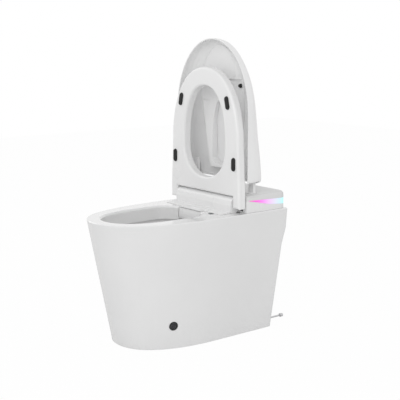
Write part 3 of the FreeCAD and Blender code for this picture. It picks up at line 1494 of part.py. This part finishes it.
inlet_route = [
    Vector(s.inlet_x, s.inlet_reach - s.nut_socket, s.inlet_height),
    Vector(s.inlet_x, s.inlet_riser_y, s.inlet_height),
    Vector(s.inlet_x, s.inlet_riser_y, s.flush_height),
    Vector(s.flush_valve_width / 2 + s.seat_gap, s.inlet_riser_y, s.flush_height),
]
keep(feature("InletTube", piped(inlet_route, s.inlet_turn, s.inlet_radius)), "inlet_tube")
nut = padded("Nut", "XZ_Plane", [
    (f"nut_radius * cos({60 * corner})", f"nut_radius * sin({60 * corner})") for corner in range(6)
], "nut_length")
place(nut, "inlet_x", "inlet_reach - nut_length / 2", "inlet_height")
nut_bore = rod(
    "NutBore", "y", "inlet_radius + run_gap", "nut_length + 4", "inlet_x", "inlet_reach - nut_length - 3",
    "inlet_height")
nut_socket = rod(
    "NutSocket", "y", "nut_socket_radius", "nut_socket + 3", "inlet_x", "inlet_reach - nut_socket",
    "inlet_height")
keep(cut("InletNut", nut, nut_bore, nut_socket), "inlet_nut")
grommet_body = rod(
    "GrommetBody", "y", "nut_radius + 3 - seat_gap", "china_wall + 5", "inlet_x",
    "foot_rear_reach - china_wall - 1", "inlet_height")
grommet_bore = rod(
    "GrommetBore", "y", "inlet_radius + seat_gap", "china_wall + 9", "inlet_x",
    "foot_rear_reach - china_wall - 3", "inlet_height")
keep(cut("Grommet", grommet_body, grommet_bore), "inlet_grommet")

# ---------------------------------------------------------------- foot sensor

bezel = sensor_rod(s.sensor_radius, -s.sensor_depth, s.sensor_proud).cut(
    sensor_rod(s.sensor_window_radius + s.seat_gap, -s.sensor_depth - 1, s.sensor_proud + 1))
keep(feature("SensorBezel", bezel), "foot_sensor_bezel")
window = sensor_rod(s.sensor_window_radius, -s.sensor_depth, s.sensor_proud - 0.8)
keep(feature("SensorWindow", window), "foot_sensor_window")
sensor_body = sensor_rod(s.sensor_radius - 1, -s.sensor_depth - 14, -s.sensor_depth - s.seat_gap)
keep(feature("SensorBody", sensor_body), "foot_sensor_body")

# ---------------------------------------------------------------- check and write

doc.recompute()
for item in doc.Objects:
    if {"Invalid", "Error"} & set(item.State):
        raise RuntimeError(f"{item.Label} did not build: {item.State}")
for piece in PIECES:
    if piece.Shape.isNull() or not piece.Shape.isValid():
        raise RuntimeError(f"{piece.Label} has no valid shape")
os.makedirs("parts", exist_ok=True)
for piece in PIECES:
    piece.Shape.exportStep(os.path.join("parts", piece.Label + ".step"))
print(f"{len(PIECES)} pieces written")
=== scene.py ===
"""Looks of a floor-standing washing toilet with a heated seat, lid and seat raised.

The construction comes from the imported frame, in metres: origin on the floor at the axis of the floor
outlet, +Z up, the bowl's nose towards -Y. This script dresses it and sets up the studio.
"""
from __future__ import annotations

import json
import logging
import math
from dataclasses import dataclass, field
from enum import Enum

import bmesh
import bpy
import numpy as np
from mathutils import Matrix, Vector

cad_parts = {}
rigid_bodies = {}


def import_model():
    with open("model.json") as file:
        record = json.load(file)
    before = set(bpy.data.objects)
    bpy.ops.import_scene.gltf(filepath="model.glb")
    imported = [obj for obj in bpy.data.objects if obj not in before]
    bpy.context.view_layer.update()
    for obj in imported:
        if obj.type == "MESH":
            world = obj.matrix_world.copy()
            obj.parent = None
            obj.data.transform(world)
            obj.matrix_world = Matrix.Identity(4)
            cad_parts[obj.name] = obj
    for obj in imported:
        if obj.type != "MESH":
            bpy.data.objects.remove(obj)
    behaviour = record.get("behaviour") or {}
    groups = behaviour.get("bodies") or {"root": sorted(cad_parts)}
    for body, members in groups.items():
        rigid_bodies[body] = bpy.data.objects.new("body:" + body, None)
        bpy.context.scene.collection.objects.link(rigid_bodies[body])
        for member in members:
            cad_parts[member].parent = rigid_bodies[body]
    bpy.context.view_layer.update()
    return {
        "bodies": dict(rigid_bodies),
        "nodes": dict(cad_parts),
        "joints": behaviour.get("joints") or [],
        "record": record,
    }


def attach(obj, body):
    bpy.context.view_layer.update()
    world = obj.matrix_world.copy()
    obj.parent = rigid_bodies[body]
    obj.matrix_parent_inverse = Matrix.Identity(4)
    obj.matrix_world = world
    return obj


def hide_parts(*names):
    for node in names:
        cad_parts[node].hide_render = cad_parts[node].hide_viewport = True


log = logging.getLogger("washing_toilet")
MM = 0.001
WHITE = (1.0, 1.0, 1.0, 1.0)
TO_THE_USER = np.array([0.0, -1.0, 0.0])


# ---------------------------------------------------------------- finishes

DRIFT_SCALE = 5.0
DRIFT_DETAIL = 3.0
RIPPLE_DETAIL = 2.0
NOISE_SPREAD = (0.3, 0.7)


class Skin(Enum):
    """How the surface of a moulded or glazed piece ripples: scale per metre, relief in metres."""

    GLAZE = (16.0, 0.00004)
    SMOOTH = (70.0, 0.00001)
    SATIN = (900.0, 0.00001)
    GRAIN = (1500.0, 0.00003)


def group_socket(
    tree: bpy.types.NodeTree, name: str, way: str, kind: str, value: float | None = None,
) -> None:
    """Add a named socket to a node group.

    Args:
        tree: The group.
        name: The socket's name.
        way: INPUT or OUTPUT.
        kind: The socket's type, such as NodeSocketFloat.
        value: The default, for a number.
    """
    socket = tree.interface.new_socket(name=name, in_out=way, socket_type=kind)
    if value is not None:
        socket.default_value = value


def skin_group() -> bpy.types.NodeTree:
    """A group for moulded and glazed skins: a slow tone drift, a gloss drift and a fine relief.

    Tone and gloss are the given values times 1 - amount ... 1 + amount, by a slow noise on Object
    coordinates. Relief is a second, finer noise, which the material's bump scales to a height.

    Returns:
        The node group, built once.
    """
    name = "moulded_skin"
    if name in bpy.data.node_groups:
        return bpy.data.node_groups[name]
    tree = bpy.data.node_groups.new(name, "ShaderNodeTree")
    group_socket(tree, "Color", "INPUT", "NodeSocketColor")
    group_socket(tree, "Roughness", "INPUT", "NodeSocketFloat", 0.3)
    group_socket(tree, "Tone Drift", "INPUT", "NodeSocketFloat", 0.02)
    group_socket(tree, "Gloss Drift", "INPUT", "NodeSocketFloat", 0.15)
    group_socket(tree, "Ripple Scale", "INPUT", "NodeSocketFloat", 100.0)
    group_socket(tree, "Color", "OUTPUT", "NodeSocketColor")
    group_socket(tree, "Roughness", "OUTPUT", "NodeSocketFloat")
    group_socket(tree, "Relief", "OUTPUT", "NodeSocketFloat")
    nodes, links = tree.nodes, tree.links
    take, give = nodes.new("NodeGroupInput"), nodes.new("NodeGroupOutput")
    place = nodes.new("ShaderNodeTexCoord")
    drift = nodes.new("ShaderNodeTexNoise")
    drift.inputs["Scale"].default_value = DRIFT_SCALE
    drift.inputs["Detail"].default_value = DRIFT_DETAIL
    links.new(place.outputs["Object"], drift.inputs["Vector"])
    ripple = nodes.new("ShaderNodeTexNoise")
    ripple.inputs["Detail"].default_value = RIPPLE_DETAIL
    links.new(place.outputs["Object"], ripple.inputs["Vector"])
    links.new(take.outputs["Ripple Scale"], ripple.inputs["Scale"])
    centred = nodes.new("ShaderNodeMapRange")
    centred.inputs["From Min"].default_value, centred.inputs["From Max"].default_value = NOISE_SPREAD
    centred.inputs["To Min"].default_value = -1.0
    centred.inputs["To Max"].default_value = 1.0
    links.new(drift.outputs["Fac"], centred.inputs["Value"])

    def spread(amount: str) -> bpy.types.NodeSocket:
        """Work out one plus the drift times the named amount.

        Args:
            amount: The group's input that holds the amount.

        Returns:
            The result's socket.
        """
        factor = nodes.new("ShaderNodeMath")
        factor.operation = "MULTIPLY_ADD"
        links.new(centred.outputs["Result"], factor.inputs[0])
        links.new(take.outputs[amount], factor.inputs[1])
        factor.inputs[2].default_value = 1.0
        return factor.outputs[0]

    tinted = nodes.new("ShaderNodeVectorMath")
    tinted.operation = "SCALE"
    links.new(take.outputs["Color"], tinted.inputs[0])
    links.new(spread("Tone Drift"), tinted.inputs["Scale"])
    links.new(tinted.outputs["Vector"], give.inputs["Color"])
    glossed = nodes.new("ShaderNodeMath")
    glossed.operation = "MULTIPLY"
    links.new(take.outputs["Roughness"], glossed.inputs[0])
    links.new(spread("Gloss Drift"), glossed.inputs[1])
    links.new(glossed.outputs[0], give.inputs["Roughness"])
    links.new(ripple.outputs["Fac"], give.inputs["Relief"])
    return tree


@dataclass(frozen=True)
class Finish:
    """A moulded, glazed or metal finish.

    Tone and gloss drift are the shares by which colour and roughness wander over a piece.
    """

    name: str
    color: tuple[float, float, float]
    roughness: float
    skin: Skin = Skin.SMOOTH
    metallic: float = 0.0
    coat: float = 0.0
    coat_roughness: float = 0.05
    ior: float = 1.5
    tone_drift: float = 0.015
    gloss_drift: float = 0.12

    def material(self) -> bpy.types.Material:
        """Build the material once.

        Returns:
            The material, with its skin group feeding colour, roughness and normal.
        """
        if self.name in bpy.data.materials:
            return bpy.data.materials[self.name]
        material = bpy.data.materials.new(self.name)
        material.use_nodes = True
        nodes, links = material.node_tree.nodes, material.node_tree.links
        shader = nodes["Principled BSDF"]
        shader.inputs["Metallic"].default_value = self.metallic
        shader.inputs["IOR"].default_value = self.ior
        shader.inputs["Coat Weight"].default_value = self.coat
        shader.inputs["Coat Roughness"].default_value = self.coat_roughness
        skin = nodes.new("ShaderNodeGroup")
        skin.node_tree = skin_group()
        scale, relief = self.skin.value
        skin.inputs["Color"].default_value = (*self.color, 1.0)
        skin.inputs["Roughness"].default_value = self.roughness
        skin.inputs["Tone Drift"].default_value = self.tone_drift
        skin.inputs["Gloss Drift"].default_value = self.gloss_drift
        skin.inputs["Ripple Scale"].default_value = scale
        bump = nodes.new("ShaderNodeBump")
        bump.inputs["Strength"].default_value = 1.0
        bump.inputs["Distance"].default_value = relief
        links.new(skin.outputs["Relief"], bump.inputs["Height"])
        links.new(bump.outputs["Normal"], shader.inputs["Normal"])
        links.new(skin.outputs["Color"], shader.inputs["Base Color"])
        links.new(skin.outputs["Roughness"], shader.inputs["Roughness"])
        self.dress(material)
        return material

    def dress(self, material: bpy.types.Material) -> None:
        """Add what a special finish needs.

        Args:
            material: The finish's material. A plain finish leaves it as it is.
        """


@dataclass(frozen=True)
class LitDiffuser(Finish):
    """A milky strip lit from behind, its colour running from the front tip to the rear corner.

    Each stop is a share of the way along Y and the light's colour there.
    """

    start: float = 114 * MM
    length: float = 185 * MM
    glow: float = 1.0
    stops: tuple[tuple[float, tuple[float, float, float]], ...] = (
        (0.00, (0.95, 0.03, 0.50)),
        (0.18, (0.95, 0.08, 0.66)),
        (0.34, (0.94, 0.24, 0.84)),
        (0.50, (0.84, 0.54, 0.92)),
        (0.66, (0.74, 0.74, 0.93)),
        (0.84, (0.50, 0.88, 0.92)),
        (1.00, (0.12, 0.78, 0.72)),
    )

    def dress(self, material: bpy.types.Material) -> None:
        """Feed the emission with a colour ramp along Y.

        Args:
            material: The finish's material.
        """
        nodes, links = material.node_tree.nodes, material.node_tree.links
        shader = nodes["Principled BSDF"]
        place = nodes.new("ShaderNodeTexCoord")
        parts = nodes.new("ShaderNodeSeparateXYZ")
        along = nodes.new("ShaderNodeMapRange")
        along.inputs["From Min"].default_value = self.start
        along.inputs["From Max"].default_value = self.start + self.length
        ramp = nodes.new("ShaderNodeValToRGB")
        elements = ramp.color_ramp.elements
        while len(elements) < len(self.stops):
            elements.new(0.5)
        for element, (spot, color) in zip(elements, self.stops):
            element.position = spot
            element.color = (*color, 1.0)
        links.new(place.outputs["Object"], parts.inputs["Vector"])
        links.new(parts.outputs["Y"], along.inputs["Value"])
        links.new(along.outputs["Result"], ramp.inputs["Fac"])
        links.new(ramp.outputs["Color"], shader.inputs["Emission Color"])
        shader.inputs["Emission Strength"].default_value = self.glow


GLAZED_CHINA = Finish("glazed_china", (0.81, 0.81, 0.81), 0.16, Skin.GLAZE, coat=0.6, ior=1.52)
WHITE_SHELL = Finish("white_shell_plastic", (0.84, 0.84, 0.84), 0.28, Skin.SMOOTH)
SEAT_PLASTIC = Finish("seat_plastic", (0.86, 0.86, 0.86), 0.30, Skin.SMOOTH)
BLACK_RUBBER = Finish("black_rubber", (0.008, 0.008, 0.009), 0.70, Skin.GRAIN, ior=1.3, tone_drift=0.1)
CIRCUIT_LACQUER = Finish("circuit_lacquer", (0.02, 0.13, 0.05), 0.35, Skin.SATIN, tone_drift=0.08)
BRUSHED_STEEL = Finish("brushed_steel", (0.58, 0.58, 0.59), 0.30, Skin.SATIN, metallic=1.0)
WORKS_PLASTIC = Finish("works_plastic", (0.20, 0.21, 0.22), 0.50, Skin.GRAIN, tone_drift=0.05)
COIL_TAPE = Finish("coil_tape", (0.28, 0.10, 0.03), 0.45, Skin.GRAIN, tone_drift=0.08)
HEATING_FOIL = Finish("heating_foil", (0.62, 0.62, 0.62), 0.35, Skin.SATIN, metallic=1.0)
SENSOR_BLACK = Finish("sensor_black", (0.010, 0.010, 0.011), 0.25, Skin.SATIN)
SENSOR_GLASS = Finish("sensor_glass", (0.006, 0.006, 0.008), 0.08, Skin.SMOOTH, coat=1.0)
LIT_DIFFUSER = LitDiffuser("lit_diffuser", (0.10, 0.09, 0.11), 0.35, Skin.SMOOTH)
# A satin copy of the white shell plastic. Its colour is darkened as painted shade, so the cover's top,
# which faces the light from above, shows no brighter than its sides.
SATIN_SHADED_COVER = Finish("satin_cover_painted_shade", (0.75, 0.75, 0.75), 0.60, Skin.SATIN, ior=1.4)

SLOT_FINISHES = {
    "china": GLAZED_CHINA,
    "white_shell": WHITE_SHELL,
    "seat_shell": SEAT_PLASTIC,
    "light_diffuser": LIT_DIFFUSER,
    "black_rubber": BLACK_RUBBER,
    "circuit_board": CIRCUIT_LACQUER,
    "steel": BRUSHED_STEEL,
    "works_plastic": WORKS_PLASTIC,
    "coil_winding": COIL_TAPE,
    "heating_foil": HEATING_FOIL,
    "sensor_black": SENSOR_BLACK,
    "sensor_glass": SENSOR_GLASS,
}

NODE_FINISHES = {
    "housing_cover": SATIN_SHADED_COVER,
}


def finish_nodes(frame: dict) -> None:
    """Give every piece of the frame its own finish, or that of its slot.
    """
    slots = {entry["node"]: entry["material_slot"] for entry in frame["record"]["subparts"]}
    for node, piece in frame["nodes"].items():
        finish = NODE_FINISHES.get(node, SLOT_FINISHES[slots[node]])
        piece.data.materials.clear()
        piece.data.materials.append(finish.material())
        log.info("%s: %s", node, finish.name)


# ---------------------------------------------------------------- rubber stops

# The section of a stop's fitting lip, inward and upward, as shares of its width and height.
LIP_REACH = np.array([-1.0, -1.0, -0.7, 0.0])
LIP_RISE = np.array([0.0, 0.7, 1.0, 1.0])


def closed_skin(name: str, rings: np.ndarray) -> bpy.types.Object:
    """Skin a stack of closed rings, with a flat face over the first and the last drawn together.

    Face (r, c) joins points c and c + 1 of ring r to the same points of ring r + 1.

    Args:
        name: The piece's name.
        rings: Points as rings x turns x 3.

    Returns:
        The piece, closed, its faces outwards and smooth.
    """
    count, turns, _ = rings.shape
    row, column = np.meshgrid(np.arange(count - 1), np.arange(turns), indexing="ij")
    beside = (column + 1) % turns
    quads = np.stack([
        row * turns + column, row * turns + beside,
        (row + 1) * turns + beside, (row + 1) * turns + column], axis=2).reshape(-1, 4)
    mesh = bpy.data.meshes.new(name)
    mesh.from_pydata(rings.reshape(-1, 3).tolist(), [], [*quads.tolist(), list(range(turns))])
    shape = bmesh.new()
    shape.from_mesh(mesh)
    bmesh.ops.remove_doubles(shape, verts=shape.verts, dist=0.01 * MM)
    bmesh.ops.recalc_face_normals(shape, faces=shape.faces)
    shape.to_mesh(mesh)
    shape.free()
    mesh.shade_smooth()
    piece = bpy.data.objects.new(name, mesh)
    bpy.context.scene.collection.objects.link(piece)
    return piece


@dataclass
class RubberStops:
    """The pads that the seat and the lid rest on, each with rounded sides, a crown and a lip.

    Apart from its thin fitting lip, a pad is as long, wide and thick as its plain solid. It faces
    the user while the lid and the seat are up.
    """

    body: str
    nodes: tuple[str, ...]
    rounding: float = 1.3 * MM
    crown: float = 0.4 * MM
    lip: float = 1.4 * MM
    lip_height: float = 1.2 * MM
    half_turn_steps: int = 20
    arc_steps: int = 8
    top_steps: int = 6

    def measure(self, points: np.ndarray) -> tuple[np.ndarray, np.ndarray, float, float, float]:
        """Find where a plain pad lies, from its points.

        The pad's long axis is the main direction of its points in the X-Z plane: the covariance's
        eigenvector with the largest eigenvalue.

        Args:
            points: The plain solid's vertices, one a row.

        Returns:
            The middle of its back, its long axis, and its half length, half width and thickness.
        """
        flat = points[:, [0, 2]]
        middle = (flat.min(axis=0) + flat.max(axis=0)) / 2
        long_way = np.linalg.eigh(np.cov((flat - middle).T))[1][:, 1]
        along = (flat - middle) @ long_way
        across = (flat - middle) @ np.array([-long_way[1], long_way[0]])
        back, front = points[:, 1].max(), points[:, 1].min()
        place = np.array([middle[0], back, middle[1]])
        axis = np.array([long_way[0], 0.0, long_way[1]])
        return place, axis, np.ptp(along) / 2, np.ptp(across) / 2, back - front

    def rings(self, half_length: float, half_width: float, thickness: float) -> np.ndarray:
        """Work out the pad's rings, from its fitting lip up and in to the line along its middle.

        A ring at inward distance d is a stadium: two half circles of radius half width - d, whose
        centres stay put. Its height climbs the lip and the side, turns over a quarter circle, and
        then rises by crown * (1 - (share of the way out)^2).

        Args:
            half_length: Half the pad's length.
            half_width: Half its width.
            thickness: How far it stands out from its back.

        Returns:
            Points as rings x turns x (along, across, out).
        """
        turn = np.linspace(0.0, np.pi / 2, self.arc_steps)
        shoulder = thickness - self.crown - self.rounding
        inner = np.linspace(self.rounding, half_width, self.top_steps + 1)[1:]
        share = (half_width - inner) / (half_width - self.rounding)
        inward = np.concatenate([
            self.lip * LIP_REACH, self.rounding * (1 - np.cos(turn)), inner])
        height = np.concatenate([
            self.lip_height * LIP_RISE, shoulder + self.rounding * np.sin(turn),
            thickness - self.crown * share ** 2])
        half = np.linspace(-np.pi / 2, np.pi / 2, self.half_turn_steps)
        angle = np.concatenate([half, half + np.pi])
        centre = (half_length - half_width) * np.repeat([1.0, -1.0], self.half_turn_steps)
        radius = (half_width - inward)[:, None]
        along = centre + radius * np.cos(angle)
        across = radius * np.sin(angle)
        return np.stack([along, across, np.broadcast_to(height[:, None], along.shape)], axis=2)

    def build(self, frame: dict) -> None:
        """Make every pad and let it stand for its plain solid.
        """
        for node in self.nodes:
            plain = frame["nodes"][node].data
            flat = np.empty(len(plain.vertices) * 3)
            plain.vertices.foreach_get("co", flat)
            place, long_way, *sizes = self.measure(flat.reshape(-1, 3))
            rings = self.rings(*sizes)
            axes = np.stack([long_way, np.cross(TO_THE_USER, long_way), TO_THE_USER])
            piece = closed_skin(f"{node}_pad", place + rings @ axes)
            piece.data.materials.append(BLACK_RUBBER.material())
            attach(piece, self.body)
            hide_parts(node)
            log.info("%s: crowned pad %.1f x %.1f mm", node, *(2 * size / MM for size in sizes[:2]))


# ---------------------------------------------------------------- studio

@dataclass
class Softbox:
    """A large soft lamp that looks at a point."""

    name: str
    place: tuple[float, float, float]
    target: tuple[float, float, float]
    size: float
    power: float

    def build(self) -> bpy.types.Object:
        """Hang the lamp.

        Returns:
            The lamp's object.
        """
        data = bpy.data.lights.new(self.name, "AREA")
        data.shape = "SQUARE"
        data.size = self.size
        data.energy = self.power
        lamp = bpy.data.objects.new(self.name, data)
        lamp.location = self.place
        way = Vector(self.target) - Vector(self.place)
        lamp.rotation_euler = way.to_track_quat("-Z", "Y").to_euler()
        bpy.context.scene.collection.objects.link(lamp)
        return lamp


@dataclass
class Studio:
    """The camera at the photograph's angle, a pale floor, a white surround and soft light."""

    camera_place: tuple[float, float, float] = (2.50606, -1.92496, 1.03129)
    camera_turn: tuple[float, float, float] = (79.7935, 0.0, 51.7375)
    lens: float = 83.31
    sensor: float = 36.0
    view_end: float = 50.0
    floor_half: float = 6.0
    floor_drop: float = 0.5 * MM
    floor_color: tuple[float, float, float, float] = (0.86, 0.86, 0.86, 1.0)
    floor_roughness: float = 0.9
    floor_white: float = 0.97
    world_strength: float = 0.74
    lamps: list[Softbox] = field(default_factory=lambda: [
        Softbox("key_box", (2.5, -2.3, 2.2), (0.0, -0.05, 0.45), 2.2, 31.0),
        Softbox("side_box", (-3.0, -1.2, 2.0), (0.0, 0.0, 0.5), 2.0, 12.0),
    ])

    def camera(self) -> None:
        """Set the camera where the photograph was taken from."""
        data = bpy.data.cameras.new("camera")
        data.lens = self.lens
        data.sensor_width = self.sensor
        data.clip_end = self.view_end
        camera = bpy.data.objects.new("camera", data)
        camera.location = self.camera_place
        camera.rotation_euler = [math.radians(turn) for turn in self.camera_turn]
        bpy.context.scene.collection.objects.link(camera)
        bpy.context.scene.camera = camera

    def floor(self) -> None:
        """Lay a pale square floor just under the object."""
        half = self.floor_half
        corners = [(-half, -half), (half, -half), (half, half), (-half, half)]
        mesh = bpy.data.meshes.new("floor")
        mesh.from_pydata([(x, y, -self.floor_drop) for x, y in corners], [], [(0, 1, 2, 3)])
        mesh.materials.append(self.floor_paint())
        piece = bpy.data.objects.new("floor", mesh)
        bpy.context.scene.collection.objects.link(piece)

    def floor_paint(self) -> bpy.types.Material:
        """Make a paint that shows nearly white to the camera and keeps the object's shadow.

        Returns:
            The floor's material: a dull pale paint, with plain white mixed in for camera rays.
        """
        material = bpy.data.materials.new("floor_paint")
        material.use_nodes = True
        nodes, links = material.node_tree.nodes, material.node_tree.links
        shader = nodes["Principled BSDF"]
        shader.inputs["Base Color"].default_value = self.floor_color
        shader.inputs["Roughness"].default_value = self.floor_roughness
        shader.inputs["Specular IOR Level"].default_value = 0.0
        glow = nodes.new("ShaderNodeEmission")
        glow.inputs["Color"].default_value = WHITE
        mix = nodes.new("ShaderNodeMixShader")
        path = nodes.new("ShaderNodeLightPath")
        share = nodes.new("ShaderNodeMath")
        share.operation = "MULTIPLY"
        share.inputs[1].default_value = self.floor_white
        links.new(path.outputs["Is Camera Ray"], share.inputs[0])
        links.new(share.outputs[0], mix.inputs["Fac"])
        links.new(shader.outputs["BSDF"], mix.inputs[1])
        links.new(glow.outputs["Emission"], mix.inputs[2])
        links.new(mix.outputs["Shader"], nodes["Material Output"].inputs["Surface"])
        return material

    def world(self) -> None:
        """Surround the object with even light, plain white to the camera and in reflections."""
        world = bpy.data.worlds.new("studio")
        bpy.context.scene.world = world
        world.use_nodes = True
        nodes, links = world.node_tree.nodes, world.node_tree.links
        even = nodes["Background"]
        even.inputs["Color"].default_value = WHITE
        even.inputs["Strength"].default_value = self.world_strength
        seen = nodes.new("ShaderNodeBackground")
        seen.inputs["Color"].default_value = WHITE
        path = nodes.new("ShaderNodeLightPath")
        either = nodes.new("ShaderNodeMath")
        either.operation = "MAXIMUM"
        mix = nodes.new("ShaderNodeMixShader")
        links.new(path.outputs["Is Camera Ray"], either.inputs[0])
        links.new(path.outputs["Is Glossy Ray"], either.inputs[1])
        links.new(either.outputs[0], mix.inputs["Fac"])
        links.new(even.outputs["Background"], mix.inputs[1])
        links.new(seen.outputs["Background"], mix.inputs[2])
        links.new(mix.outputs["Shader"], nodes["World Output"].inputs["Surface"])

    def build(self) -> None:
        """Set up camera, floor, world and lamps."""
        bpy.context.scene.view_settings.view_transform = "Standard"
        self.camera()
        self.floor()
        self.world()
        for lamp in self.lamps:
            lamp.build()
        log.info("studio: %d lamps", len(self.lamps))


# ---------------------------------------------------------------- build

SEAT_STOPS = tuple(
    f"seat_bumper_{end}_{side}" for end in ("front", "rear") for side in ("left", "right"))
LID_STOPS = ("lid_bumper_left", "lid_bumper_right")


def main() -> None:
    """Dress the frame and set up the studio."""
    logging.basicConfig(level=logging.INFO, format="%(name)s: %(message)s")
    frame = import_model()
    finish_nodes(frame)
    RubberStops("seat", SEAT_STOPS).build(frame)
    RubberStops("lid", LID_STOPS).build(frame)
    Studio().build()


if __name__ == "__main__":
    main()
